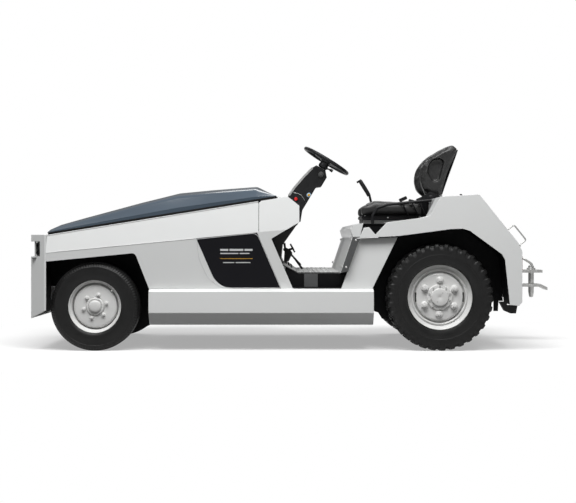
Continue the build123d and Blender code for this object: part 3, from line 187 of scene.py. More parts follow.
def disc(radius, height, edge=0.15, steps=24):
    """A round plate from the origin along +y, its upper edge chamfered."""
    cut = height * edge
    return ring([(0, 0), (radius, 0), (radius, height - cut), (radius - cut, height), (0, height)], steps)


def hexagon(radius, height):
    return disc(radius, height, 0.18, 6)


def dome(radius, height, steps=24, rows=6):
    arc = [(radius * math.cos(math.pi / 2 * row / rows), height * math.sin(math.pi / 2 * row / rows))
           for row in range(rows + 1)]
    return ring([(0, 0)] + arc, steps)


def piece(name, part, material, body="chassis", smooth=32, bevel=0, replaces=()):
    """One mesh object of a part, which rides on a body, in one material."""
    mesh = bpy.data.meshes.new(name)
    mesh.from_pydata(part[0], [], part[1])
    shape = bmesh.new()
    shape.from_mesh(mesh)
    bmesh.ops.remove_doubles(shape, verts=shape.verts, dist=merge_distance)
    bmesh.ops.dissolve_degenerate(shape, edges=shape.edges, dist=merge_distance)
    bmesh.ops.recalc_face_normals(shape, faces=shape.faces)
    shape.to_mesh(mesh)
    shape.free()
    mesh.polygons.foreach_set("use_smooth", [True] * len(mesh.polygons))
    mesh.set_sharp_from_angle(angle=math.radians(smooth))
    thing = bpy.data.objects.new(name, mesh)
    bpy.context.scene.collection.objects.link(thing)
    mesh.materials.append(material)
    if bevel:
        round_edges(thing, bevel)
    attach(thing, body)
    if replaces:
        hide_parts(*replaces)
    return thing


def round_edges(thing, width, angle=28):
    bevel = thing.modifiers.new("edges", "BEVEL")
    bevel.width = width
    bevel.segments = 2
    bevel.limit_method = "ANGLE"
    bevel.angle_limit = math.radians(angle)
    bevel.harden_normals = True
    bevel.use_clamp_overlap = True


# Materials: each is one Principled shader whose colour, roughness and bump come from noise
def node_adder(tree):
    """A function that adds a node to an emptied tree. An input takes a value or another node's output."""
    tree.nodes.clear()

    def add(kind, inputs, **settings):
        new = tree.nodes.new(kind)
        for key, value in settings.items():
            setattr(new, key, value)
        for key, value in inputs.items():
            if isinstance(value, bpy.types.NodeSocket):
                tree.links.new(value, new.inputs[key])
            else:
                new.inputs[key].default_value = value
        return new

    return add


dust_colour, dust_top = (0.35, 0.33, 0.30), 0.35
coat_roughness = 0.12


def shader(name, colour, rough, metallic=0.0, specular=0.5, coat=0.0, vary=0.06, vary_scale=3.0,
           rough_vary=0.08, grain=0.0, grain_scale=400.0, cells=False, wave=0.0, wave_scale=12.0, dust=0.0,
           worn=0.0, worn_colour=(0.5, 0.5, 0.5)):
    made = bpy.data.materials.new(name)
    made.use_nodes = True
    add = node_adder(made.node_tree)
    where = add("ShaderNodeTexCoord", {}).outputs["Object"]

    def noise(scale, detail=3.0, roughness=0.55):
        return add("ShaderNodeTexNoise", {"Scale": scale, "Detail": detail, "Roughness": roughness,
                                          "Vector": where}).outputs["Fac"]

    def mixed(factor, first, second):
        first, second = [value + (1.0,) if isinstance(value, tuple) else value for value in (first, second)]
        return add("ShaderNodeMix", {"Factor": factor, "A": first, "B": second},
                   data_type="RGBA").outputs["Result"]

    def ramp(value, low, high, out_low=0.0, out_high=1.0):
        return add("ShaderNodeMapRange", {"Value": value, "From Min": low, "From Max": high,
                                          "To Min": out_low, "To Max": out_high}).outputs["Result"]

    def bump(height, strength, distance, under):
        return {"Normal": add("ShaderNodeBump", {"Strength": strength, "Distance": distance, "Height": height,
                                                 **under}).outputs[0]}

    darker = tuple(max(channel * (1 - vary), 0) for channel in colour)
    lighter = tuple(min(channel * (1 + vary), 1) for channel in colour)
    tone = mixed(ramp(noise(vary_scale), 0.3, 0.7), darker, lighter)
    if worn:
        tone = mixed(ramp(noise(vary_scale * 9, 6.0, 0.7), 0.62 - 0.1 * worn, 0.72), tone, worn_colour)
    if dust:
        height = add("ShaderNodeSeparateXYZ", {0: where}).outputs["Z"]
        cover = add("ShaderNodeMath", {0: ramp(height, dust_top, 0.0),
                                       1: ramp(noise(7.0, 5.0), 0.35, 0.7, 0.0, dust)}, operation="MULTIPLY")
        tone = mixed(cover.outputs[0], tone, dust_colour)
    gloss = ramp(noise(vary_scale * 4, 4.0), 0.25, 0.75, max(rough - rough_vary, 0.03),
                 min(rough + rough_vary, 1))
    normal = {}
    if grain:
        if cells:
            fine = add("ShaderNodeTexVoronoi", {"Scale": grain_scale, "Vector": where}).outputs["Distance"]
        else:
            fine = noise(grain_scale, 4.0, 0.6)
        normal = bump(fine, grain, 0.6 / grain_scale, normal)
    if wave:
        normal = bump(noise(wave_scale, 1.0), wave, 0.02 / wave_scale, normal)
    surface = add("ShaderNodeBsdfPrincipled", {"Metallic": metallic, "Specular IOR Level": specular,
                                               "Coat Weight": coat, "Coat Roughness": coat_roughness,
                                               "Base Color": tone, "Roughness": gloss, **normal})
    add("ShaderNodeOutputMaterial", {"Surface": surface.outputs[0]})
    return made


white_paint = shader("white_paint", (0.76, 0.77, 0.765), 0.36, coat=0.25, vary=0.012, rough_vary=0.04,
                     grain=0.03, grain_scale=900, wave=0.02, wave_scale=6, dust=0.10)
# A slightly darker copy of the white paint: painted shade, on the nose panel and the seat box's brows.
nose_paint = shader("nose_paint", (0.72, 0.73, 0.725), 0.38, coat=0.2, vary=0.014, rough_vary=0.04,
                    grain=0.03, grain_scale=900, wave=0.02, wave_scale=6, dust=0.12)
hood_paint = shader("hood_paint", (0.050, 0.072, 0.098), 0.22, coat=0.6, vary=0.10, vary_scale=2,
                    rough_vary=0.03, grain=0.03, grain_scale=1500)
black_cover = shader("black_cover", (0.005, 0.005, 0.007), 0.42, specular=0.12, vary=0.1, grain=0.05,
                     grain_scale=1200)
frame_black = shader("frame_black", (0.004, 0.004, 0.0045), 0.55, specular=0.12, vary=0.25, vary_scale=9,
                     rough_vary=0.12, grain=0.08, grain_scale=350, dust=0.03)
floor_steel = shader("floor_steel", (0.03, 0.03, 0.03), 0.5, metallic=0.4, vary=0.3, vary_scale=14,
                     worn=0.7, worn_colour=(0.24, 0.24, 0.23), grain=0.1, grain_scale=300)
tyre_rubber = shader("tyre_rubber", (0.008, 0.008, 0.008), 0.46, specular=0.26, vary=0.2, vary_scale=12,
                     rough_vary=0.1, grain=0.15, grain_scale=500, dust=0.012)
rim_paint = shader("rim_paint", (0.70, 0.70, 0.69), 0.33, coat=0.2, vary=0.03, vary_scale=14, rough_vary=0.06,
                   grain=0.05, grain_scale=600)
trim_rubber = shader("trim_rubber", (0.006, 0.006, 0.006), 0.5, specular=0.18, vary=0.2, vary_scale=20,
                     grain=0.1, grain_scale=700)
seat_vinyl = shader("seat_vinyl", (0.016, 0.016, 0.016), 0.40, specular=0.5, vary=0.15, vary_scale=8,
                    rough_vary=0.07, grain=0.30, grain_scale=700, cells=True)
black_plastic = shader("black_plastic", (0.009, 0.009, 0.010), 0.40, specular=0.3, vary=0.12, vary_scale=10,
                       grain=0.18, grain_scale=900, cells=True)
zinc = shader("zinc", (0.50, 0.50, 0.49), 0.38, metallic=0.75, vary=0.12, vary_scale=30, grain=0.1,
              grain_scale=300)
machined = shader("machined", (0.10, 0.10, 0.10), 0.5, metallic=0.5, vary=0.2, vary_scale=12, grain=0.25,
                  grain_scale=180, dust=0.2)
battery_case = shader("battery_case", (0.03, 0.04, 0.055), 0.5, vary=0.1, grain=0.06, grain_scale=500)
tail_red = shader("tail_red", (0.32, 0.010, 0.012), 0.18, coat=1.0, vary=0.1, vary_scale=90)
signal_red = shader("signal_red", (0.55, 0.012, 0.012), 0.35, coat=0.3, vary=0.08, vary_scale=60)
pale_blue = shader("pale_blue", (0.30, 0.46, 0.62), 0.4, vary=0.05, vary_scale=60)
amber = shader("amber", (0.66, 0.36, 0.03), 0.4, vary=0.05, vary_scale=60)
# Pale grey for the printed marks, and for the painted highlight along the side covers' edges.
mark_and_highlight_white = shader("mark_and_highlight_white", (0.66, 0.67, 0.67), 0.5, vary=0.03, vary_scale=30)
strip_grey = shader("strip_grey", (0.085, 0.087, 0.088), 0.5, specular=0.35, vary=0.12, vary_scale=14,
                    grain=0.06, grain_scale=500)
lamp_black = shader("lamp_black", (0.008, 0.008, 0.009), 0.4, specular=0.4, vary=0.2, vary_scale=20)
reflector = shader("reflector", (0.62, 0.63, 0.64), 0.16, metallic=0.9, vary=0.06, vary_scale=40)
grey_plate = shader("grey_plate", (0.42, 0.425, 0.42), 0.45, metallic=0.2, vary=0.08, vary_scale=16, worn=0.4,
                    worn_colour=(0.52, 0.52, 0.51), grain=0.06, grain_scale=500)

# CAD nodes that stay: their finish, and the radius of their edges in millimetres
node_finish = (
    # The nose panel takes the darker copy of the white paint, painted shade.
    (white_paint, 3.5, "sills"), (nose_paint, 4.5, "nose_panel"),
    (white_paint, 2, "side_panels cowl_panels cowl_bridge seat_box_sides rear_fenders rear_panel"),
    (black_cover, 2, "side_covers"), (battery_case, 8, "battery"), (floor_steel, 1.5, "floor_plate"),
    (frame_black, 0, "front_arch_liners rear_arch_liners"), (frame_black, 1.5, "step_risers"),
    (frame_black, 2, "cross_members belly_plate leaf_springs seat_box"),
    (frame_black, 3, "frame_rails rear_axle seat_bracket"),
    (machined, 0, "tie_rod"), (machined, 1.5, "pitman_arm"), (machined, 2, "knuckle_left knuckle_right"),
    (machined, 3, "front_axle_beam"), (machined, 4, "drive_motor steering_gearbox"),
    (trim_rubber, 1.5, "rubber_pads hood_seals"), (seat_vinyl, 0, "seat_cushion seat_backrest"),
    (black_plastic, 0, "guard_rails parking_brake_lever steering_wheel"), (black_plastic, 1, "pedals"),
    (black_plastic, 1.5, "dash_panel"), (black_plastic, 3, "seat_base steering_column"),
    (zinc, 0, "grab_handles"), (zinc, 1.5, "hitch_pin"), (zinc, 2, "tow_hitch"), (tail_red, 3, "rear_lamps"),
    (lamp_black, 1, "headlamps"), (hood_paint, 3, "hood"),
    (tyre_rubber, 0, "front_tyre_left front_tyre_right rear_tyre_left rear_tyre_right"),
    (rim_paint, 0, "front_rim_left front_rim_right rear_rim_left rear_rim_right"),
)
for material, edge, names in node_finish:
    for name in names.split():
        thing = nodes[name]
        thing.data.materials.clear()
        thing.data.materials.append(material)
        if edge:
            weld = thing.modifiers.new("weld", "WELD")
            weld.merge_threshold = merge_distance
            flat = thing.modifiers.new("flat", "DECIMATE")
            flat.decimate_type = "DISSOLVE"
            flat.angle_limit = math.radians(0.5)
            round_edges(thing, edge / 1000)


def wheel_of(node):
    end, kind, side = node.split("_")
    return end + "_wheel_" + side


def on_wheel(node, ending, part, material, smooth, replaces=()):
    piece(node + ending, part, material, wheel_of(node), smooth=smooth, replaces=replaces)


# Tyres: a grid of columns round the wheel and rows from the outer bead over the tread to the inner bead
def tyre_grid(rows, columns, centre):
    verts, faces = [], []
    count = len(rows(0))
    for column in range(columns):
        angle = 2 * math.pi * column / columns
        for radius, offset in rows(column):
            verts.append((centre.x + radius * math.cos(angle), centre.y + offset,
                          centre.z + radius * math.sin(angle)))
    for column in range(columns):
        first, second = column * count, (column + 1) % columns * count
        for row in range(count - 1):
            faces.append((first + row, first + row + 1, second + row + 1, second + row))
    return verts, faces


def side_rows(outer, bead, half, bead_half, shoulder_drop, mark):
    """The sidewall from the bead to the shoulder, with a raised ring at the radius of a mark."""
    span = outer - shoulder_drop - bead
    rows = [(bead - 0.004, bead_half - 0.004), (bead + 0.004, bead_half + 0.003)]
    for part in (0.12, 0.26, 0.42, 0.56, 0.68):
        swell = math.sin(math.pi * min(part * 0.92 + 0.06, 1))
        rows.append((bead + span * part, bead_half + (half - bead_half) * (0.35 + 0.65 * swell)))
    at = half - 0.0008
    rows += [(mark - 0.0035, at - 0.0012), (mark - 0.002, at), (mark + 0.002, at),
             (mark + 0.0035, at - 0.0012)]
    return rows


def front_tyre(name, side):
    low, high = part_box(name)
    centre = (low + high) / 2
    radius, half = (high.z - low.z) / 2, (high.y - low.y) / 2
    pitches, steps = 98, 4
    bead, mark = radius * 0.59, radius * 0.886
    ribs = (0.014, 0.018, 0.042, 0.046)
    sipe, groove = 0.0035, 0.007

    def rows(column):
        cut = sipe if column % steps == 0 else 0.0
        side_in = cut * 0.8
        edge = side_rows(radius, bead, half, half * 0.80, 0.022, mark)
        edge += [(radius - 0.026, half - 0.003 - side_in), (radius - 0.016, half - 0.009 - side_in),
                 (radius - 0.007, half - 0.017 - cut), (radius - 0.0015 - cut, half - 0.030)]
        tread = [(radius - cut, half - 0.036)]
        for place, offset in enumerate(reversed(ribs)):
            lip = 0.0012 if place % 2 == 0 else -0.0012
            edge_and_foot = [(radius - 0.0002, offset + lip), (radius - groove, offset)]
            tread += edge_and_foot if lip > 0 else edge_and_foot[::-1]
        outside = edge + tread
        return [(r, side * y) for r, y in outside] + [(r, -side * y) for r, y in reversed(outside)]

    on_wheel(name, "_dressed", tyre_grid(rows, pitches * steps, centre), tyre_rubber, 38, replaces=(name,))


def rear_tyre(name, side):
    low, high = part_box(name)
    centre = (low + high) / 2
    radius, half = (high.z - low.z) / 2, (high.y - low.y) / 2
    pitches, steps = 34, 10
    bead, mark, depth = radius * 0.615, radius * 0.791, 0.014
    shoulder = radius - 0.011

    def height(column, row_side, across):
        """One where a lug stands, zero in the gap: the lugs lean back towards the edge."""
        place = (column / steps + (0.5 if row_side < 0 else 0.0) + 0.30 * across) % 1.0
        return 1.0 if 0.10 <= place <= 0.60 else 0.0

    def half_rows(column, row_side):
        edge = side_rows(radius, bead, half, half * 0.80, 0.05, mark)
        lug = height(column, row_side, 0.0)
        edge += [(radius - 0.048, half - 0.0015), (radius - 0.044, half - 0.0015 + 0.0015 * lug),
                 (radius - 0.030, half - 0.0070 + 0.0065 * lug), (shoulder, half - 0.016 + 0.012 * lug)]
        for inset, drop in (0.010, 0.004), (0.018, 0.001), (0.040, 0.0), (0.060, 0.0), (0.078, 0.0):
            stands = height(column, row_side, inset / half)
            edge.append((radius - drop - depth * (1 - stands), half - inset))
        return edge + [(radius - depth, half - 0.0795), (radius - depth, 0.004)]

    def rows(column):
        far = reversed(half_rows(column, -side))
        return [(r, side * y) for r, y in half_rows(column, side)] + [(r, -side * y) for r, y in far]

    on_wheel(name, "_dressed", tyre_grid(rows, pitches * steps, centre), tyre_rubber, 38, replaces=(name,))


# Rims: a fine turned section, with the disc's slots drawn as black patches of painted shade, nuts, hub ring,
# cap and valve
def rim_box(name, side):
    """The rim's centre, its outer face, its flange's radius and its width."""
    low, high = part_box(name)
    return (low + high) / 2, high.y if side > 0 else low.y, (high.x - low.x) / 2, high.y - low.y


def turned(name, profile, side):
    centre, outer, _, _ = rim_box(name, side)
    return shifted(ring([(radius, side * offset) for radius, offset in profile], 96), centre.x, outer,
                   centre.z)


def spread(part, count, radius, turn, centre, side, y):
    """Copies of a part made about the y axis, set round a wheel's centre."""
    copies = []
    for step in range(count):
        angle = math.radians(turn) + 2 * math.pi * step / count
        place = (centre.x + radius * math.cos(angle), y, centre.z + radius * math.sin(angle))
        copies.append(along(part, place, (0, side, 0)))
    return joined(*copies)


def wheel_nut(width, base, height):
    """A hexagon nut on a round seat, with the stud's end in its middle."""
    radius = width / 2
    stud = radius * 0.5
    collar = [(0, 0), (base, 0), (base, height * 0.16), (base * 0.9, height * 0.26), (radius, height * 0.28)]
    crown = [(0, height), (radius * 0.86, height), (radius, height * 0.86), (radius, height * 0.2),
             (0, height * 0.2)]
    end = [(0, height * 1.28), (stud * 0.8, height * 1.28), (stud, height * 1.18), (stud, height),
           (0, height)]
    return joined(ring(collar + [(0, height * 0.28)], 28), ring(crown, 6), ring(end, 16))


def valve(centre, side, y, angle, r_in, r_out):
    way = Vector((math.cos(math.radians(angle)), 0, math.sin(math.radians(angle))))
    start = centre + way * r_in
    end = centre + way * r_out
    start.y, end.y = y, y + side * 0.010
    mid = (start + end) / 2
    return joined(tube([start, mid, end], [0.0055, 0.0050, 0.0040], 12), tube([mid, end], 0.0052, 12))


def front_rim(name, side):
    centre, outer, flange, width = rim_box(name, side)
    well_in = flange - 0.020
    nut_circle, nut_turn = 0.077, 14.3
    profile = mm([(-10, -25), (-1, -22), (0, -17), (-2, -12), (-6, -9.5), (-11, -12), (-13.5, -18)],
                 flange) + mm([(-2, -30), (-5, -40)], well_in) + mm([(151.5, -62), (149, -70), (143.5, -70),
                                                                     (143, -52), (141.5, -41), (137, -36.5),
                                                                     (130, -34.5), (110, -32.2), (92, -31.5),
                                                                     (62.5, -31.2), (60, -34.5), (58, -30.5),
                                                                     (57.2, -24), (54.5, -21.5), (48, -21),
                                                                     (44.5, -23.5), (42, -27), (41, -20),
                                                                     (40.5, -14.5), (38.5, -10.5), (34, -7.5),
                                                                     (24, -4.8), (12, -3.8), (0, -3.6)])
    back = [(flange - 0.010, -0.016), (well_in - 0.004, -0.030), (well_in - 0.006, -width + 0.030),
            (flange - 0.008, -width + 0.012), (flange - 0.0015, -width + 0.006),
            (flange - 0.002, -width + 0.001), (flange - 0.010, -width + 0.0005),
            (well_in - 0.012, -width + 0.012), (well_in - 0.014, -width + 0.040), (0.148, -0.064),
            (0.120, -0.050), (0.060, -0.048), (0.0, -0.048)]
    shell = joined(turned(name, profile, side), turned(name, back, side))
    on_wheel(name, "_dressed", shell, rim_paint, 40, replaces=(name,))
    nuts = spread(wheel_nut(width=0.024, base=0.0150, height=0.014), 6, nut_circle, nut_turn, centre, side,
                  outer - side * 0.0325)
    on_wheel(name, "_nuts", nuts, rim_paint, 30)
    on_wheel(name, "_valve", valve(centre, side, outer - side * 0.030, 43.5, 0.146, 0.164), zinc, 40)
    dots = spread(disc(0.0035, 0.0015, 0.3, 12), 12, 0.0495, 8, centre, side, outer - side * 0.0245)
    on_wheel(name, "_cap_bolts", dots, zinc, 40)


def rear_rim(name, side):
    centre, outer, flange, width = rim_box(name, side)
    nut_circle, nut_turn, slot_circle = 0.112, 88.5, 0.1555
    profile = mm([(-12, -20), (-1, -16), (0, -10), (-2.5, -4), (-7, -0.5), (-13, -4), (-17, -12)],
                 flange) + mm([(196, -30), (190, -36), (186.5, -40), (184, -36), (180.5, -32.5), (176, -31.5),
                               (172.5, -33.5), (170.5, -38), (169, -52), (166, -60), (161.5, -60), (160, -48),
                               (158, -37.5), (153, -32.5), (145, -30.8), (120, -30), (85, -29.8), (83.2, -28),
                               (82.8, -20), (81.2, -17.8), (77, -16.8), (64, -16.8), (60.5, -17.2),
                               (59.2, -19.5), (58, -15), (57.2, -6), (55, -2), (50, -0.5), (30, -0.2),
                               (9, -0.4), (6, -2), (0, -2.6)])
    back = mm([(-12, -20), (-16, -34)], flange) + mm([(-17, 34), (-12, 14), (-2, 8), (-2, 2), (-12, 0.5),
                                                      (-24, 14), (-26, 44)], flange,
                                                     -width) + mm([(172, -72), (150, -52), (90, -50),
                                                                   (0, -50)])
    shell = joined(turned(name, profile, side), turned(name, back, side))
    on_wheel(name, "_dressed", shell, rim_paint, 40, replaces=(name,))
    nuts = spread(wheel_nut(width=0.043, base=0.0250, height=0.022), 6, nut_circle, nut_turn, centre, side,
                  outer - side * 0.0302)
    on_wheel(name, "_nuts", nuts, rim_paint, 30)
    bolts = spread(hexagon(0.0068, 0.0055), 10, 0.0712, 18, centre, side, outer - side * 0.0170)
    notches = spread(disc(0.0052, 0.0075, 0.5, 12), 16, 0.0568, 11, centre, side, outer - side * 0.0175)
    caps = spread(dome(0.0042, 0.0022, 12, 3), 2, 0.034, 60, centre, side, outer - side * 0.0004)
    on_wheel(name, "_hub_bolts", joined(bolts, caps), zinc, 30)
    on_wheel(name, "_cap_edge", notches, rim_paint, 40)
    # Thin black patches at the disc's edge: painted shade where the slots open.
    slot_shades = []
    flat = rounded([(-0.0045, -0.032, 0.004), (0.0045, -0.032, 0.004), (0.0045, 0.032, 0.004),
                    (-0.0045, 0.032, 0.004)], 4)
    for angle in (0, math.pi):
        part = slab(flat, 0.0, 0.0006)
        at = (centre.x + slot_circle * math.cos(angle), outer - side * 0.0330,
              centre.z + slot_circle * math.sin(angle))
        slot_shades.append(shifted(mirrored(part) if side < 0 else part, *at))
    on_wheel(name, "_slot_shades", joined(*slot_shades), frame_black, 30)
    on_wheel(name, "_valve", valve(centre, side, outer - side * 0.032, 180, 0.200, 0.216), zinc, 40)


for end, side in (("left", -1), ("right", 1)):
    front_tyre("front_tyre_" + end, side)
    rear_tyre("rear_tyre_" + end, side)
    front_rim("front_rim_" + end, side)
    rear_rim("rear_rim_" + end, side)


# Places of the body, worked out from the frame
nose_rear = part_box("nose_panel")[1].x
hood_low, hood_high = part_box("hood")
seal_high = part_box("hood_seals")[1]
cover_low, cover_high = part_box("side_covers")
floor_low, floor_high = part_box("floor_plate")
cushion_low, cushion_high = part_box("seat_cushion")
back_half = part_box("seat_backrest")[1].y
hitch_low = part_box("tow_hitch")[0]
column_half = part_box("steering_column")[1].y
deck_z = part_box("seat_box")[1].z
body_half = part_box("sills")[1].y
joints = {joint["name"]: joint for joint in frame["joints"]}
wheel_centre = Vector(joints["steering_wheel_turn"]["pos_m"])
wheel_axis = Vector(joints["steering_wheel_turn"]["axis"]).normalized()
hinge_line = Vector(joints["hood_hinge"]["pos_m"])

# The panels' widest line, and how the faces above and below it lean in
crease_slope = math.tan(math.radians(5.5))
crease_front_z = 0.642
lean_above = math.tan(math.radians(10))
lean_below = math.tan(math.radians(6))
seal_slope = math.tan(math.radians(9.1))


def crease_z(x):
    return crease_front_z + crease_slope * (x - nose_rear)


def seal_top(x):
    return seal_high.z - seal_slope * (seal_high.x - x)


def side_y(x, z):
    rise = z - crease_z(x)
    return body_half - (lean_above * rise if rise > 0 else -lean_below * rise)


def on_side(points, out=0.0):
    """Points in x and z, laid on the left side panel and lifted off it."""
    return [Vector((x, -side_y(x, z) - out, z)) for x, z in points]


def corner(before, here, after, radius, steps):
    """An arc of a fixed number of points in place of a corner."""
    before, here, after = Vector(before), Vector(here), Vector(after)
    return arc(before, here, after, min(radius, 0.45 * (before - here).length, 0.45 * (after - here).length),
               steps)


def skinned(sections):
    """A surface through sections that have the same number of points."""
    count = len(sections[0])
    verts = [tuple(point) for section in sections for point in section]
    faces = []
    for place in range(len(sections) - 1):
        first, second = place * count, (place + 1) * count
        faces += [(first + k, first + k + 1, second + k + 1, second + k) for k in range(count - 1)]
    faces.append(tuple(range(count - 1, -1, -1)))
    faces.append(tuple(range((len(sections) - 1) * count, len(sections) * count)))
    return verts, faces


# Hood: columns are x from its front, edge inset, shoulder inset and rise, crown inset and rise
hood_rows = [(0, 60, 20, 4, 120, 7), (5, 34, 24, 9, 130, 15), (22, 12, 34, 18, 150, 28),
             (72, 0, 44, 31, 200, 48), (212, 0, 48, 46, 220, 67), (352, 0, 52, 60, 240, 84),
             (602, 0, 56, 86, 260, 113), (852, 0, 60, 108, 280, 136), (1072, 0, 60, 92, 280, 122),
             (1370, 0, 60, 67, 280, 97), (1385, 0, 60, 62, 280, 91), (1508, 0, 60, 6, 280, 9)]


def hood_section(row):
    along_x, edge_in, shoulder_in, shoulder_up, crown_in, crown_up = [value / 1000 for value in row]
    x = hood_low.x + along_x
    foot = seal_top(x) + 0.0005
    half = hood_high.y - edge_in
    shoulder = (x, -half + shoulder_in, foot + shoulder_up)
    crown = (x, -half + crown_in, foot + crown_up)
    centre = (x, 0, foot + crown_up + 0.004)
    near = [Vector((x, -half, foot)), Vector((x, -half, foot + 0.25 * shoulder_up))]
    near += corner(near[0], shoulder, crown, 0.030, 8) + corner(shoulder, crown, centre, 0.10, 6)
    far = [Vector((point.x, -point.y, point.z)) for point in reversed(near)]
    return near + [Vector(centre)] + far


hood = piece("hood_dressed", skinned([hood_section(row) for row in hood_rows]), hood_paint, "hood", smooth=24,
             replaces=("hood",))
shell = hood.modifiers.new("sheet", "SOLIDIFY")
shell.thickness = 0.005
shell.offset = -1
round_edges(hood, 0.0012, 40)


def hood_hinges():
    leaf_x = hinge_line.x - 0.012
    parts = []
    for y in (-0.420, 0.420):
        barrel = tube([(hinge_line.x, y - 0.028, hinge_line.z), (hinge_line.x, y + 0.028, hinge_line.z)],
                      0.0078, 20)
        leaf = brick((leaf_x - 0.030, y - 0.026, hinge_line.z + 0.004),
                     (hinge_line.x, y + 0.026, hinge_line.z + 0.008))
        screws = [along(dome(0.004, 0.002, 12, 3), (leaf_x - 0.018, y + step, hinge_line.z + 0.008), upward)
                  for step in (-0.016, 0.016)]
        parts += [barrel, leaf] + screws
    piece("hood_hinges", joined(*parts), frame_black, "hood", smooth=40)


# Seat: stuffed pads, swollen by a cloth run that is applied
cloth_frames = 20


def stuffed(name, part, limit, replaces=(), pocket=None):
    """A pad that swells under pressure, but by no more than a limit."""
    thing = piece(name, part, seat_vinyl, replaces=replaces, smooth=180)
    if pocket:
        carve(thing, pocket)
    remesh = thing.modifiers.new("even", "REMESH")
    remesh.mode = "VOXEL"
    remesh.voxel_size = 0.0065
    soft = thing.modifiers.new("soft", "SMOOTH")
    soft.iterations = 6
    settle(thing)
    rest = [vert.co.copy() for vert in thing.data.vertices]
    cloth = thing.modifiers.new("air", "CLOTH")
    cloth.settings.use_pressure = True
    cloth.settings.uniform_pressure_force = 4.0
    cloth.settings.effector_weights.gravity = 0
    cloth.settings.quality = 4
    cloth.settings.tension_stiffness = 12
    cloth.settings.compression_stiffness = 12
    cloth.settings.bending_stiffness = 0.4
    cloth.point_cache.frame_end = cloth_frames
    for step in range(1, cloth_frames + 1):
        bpy.context.scene.frame_set(step)
    settle(thing)
    bpy.context.scene.frame_set(1)
    for vert, start in zip(thing.data.vertices, rest):
        way = vert.co - start
        if way.length > limit:
            vert.co = start + way * (limit / way.length)
    finer = thing.modifiers.new("finer", "SUBSURF")
    finer.levels = finer.render_levels = 1
    thing.data.polygons.foreach_set("use_smooth", [True] * len(thing.data.polygons))


def carve(thing, pocket):
    """Takes a pocket out of a piece."""
    cutter_mesh = bpy.data.meshes.new("cutter")
    cutter_mesh.from_pydata(pocket[0], [], pocket[1])
    shape = bmesh.new()
    shape.from_mesh(cutter_mesh)
    bmesh.ops.recalc_face_normals(shape, faces=shape.faces)
    shape.to_mesh(cutter_mesh)
    shape.free()
    cutter = bpy.data.objects.new("cutter", cutter_mesh)
    bpy.context.scene.collection.objects.link(cutter)
    cut = thing.modifiers.new("pocket", "BOOLEAN")
    cut.operation = "DIFFERENCE"
    cut.solver = "EXACT"
    cut.object = cutter
    settle(thing)
    bpy.data.objects.remove(cutter)
    bpy.data.meshes.remove(cutter_mesh)


def settle(thing):
    """The mesh as its modifiers leave it takes the place of the mesh, and the modifiers go."""
    bpy.context.view_layer.update()
    seen = thing.evaluated_get(bpy.context.evaluated_depsgraph_get())
    made = bpy.data.meshes.new_from_object(seen, preserve_all_data_layers=False)
    thing.modifiers.clear()
    thing.data = made


def seat_pads():
    x, z = cushion_high.x, cushion_low.z
    half = cushion_high.y
    middle_half = half - 0.085
    seat_side = rounded(mm([(-424, 8, 14), (-10, 8, 14), (-10, 80, 18), (-150, 92, 60), (-330, 104, 50),
                            (-424, 62, 34)], x, z), 6)
    seat_mid = rounded(mm([(-414, 10, 14), (-14, 10, 14), (-14, 66, 18), (-150, 76, 60), (-330, 92, 60),
                           (-414, 56, 30)], x, z), 6)
    stuffed("cushion_pad", slab(seat_mid, -middle_half, middle_half), 0.022, ("seat_cushion",))
    stuffed("cushion_bolsters", both_sides(slab(seat_side, middle_half + 0.002, half - 0.006)), 0.020)
    inner_half = back_half - 0.080
    wing = rounded(mm([(124, 136, 20), (56, 140, 40), (-6, 198, 40), (-18, 282, 50), (2, 358, 60),
                       (56, 424, 60), (130, 468, 50), (208, 502, 18), (242, 474, 16), (229, 420, 40),
                       (178, 286, 60), (154, 212, 40)], x, z), 5)
    inner = rounded(mm([(122, 130, 20), (72, 130, 30), (48, 200, 60), (44, 290, 60), (70, 380, 60),
                        (136, 440, 50), (200, 480, 20), (226, 464, 16), (212, 410, 40), (164, 286, 60),
                        (140, 210, 40)], x, z), 5)
    stuffed("backrest_pad", slab(inner, -inner_half, inner_half), 0.022, ("seat_backrest",))
    hollow = rounded(mm([(40, 360, 20), (70, 396, 20), (122, 404, 20), (150, 380, 14), (114, 246, 30),
                         (72, 240, 24), (34, 296, 30)], x, z), 5)
    pocket = both_sides(slab(hollow, back_half - 0.040, back_half + 0.030))
    stuffed("backrest_bolsters", both_sides(slab(wing, inner_half + 0.002, back_half - 0.004)), 0.010,
            pocket=pocket)


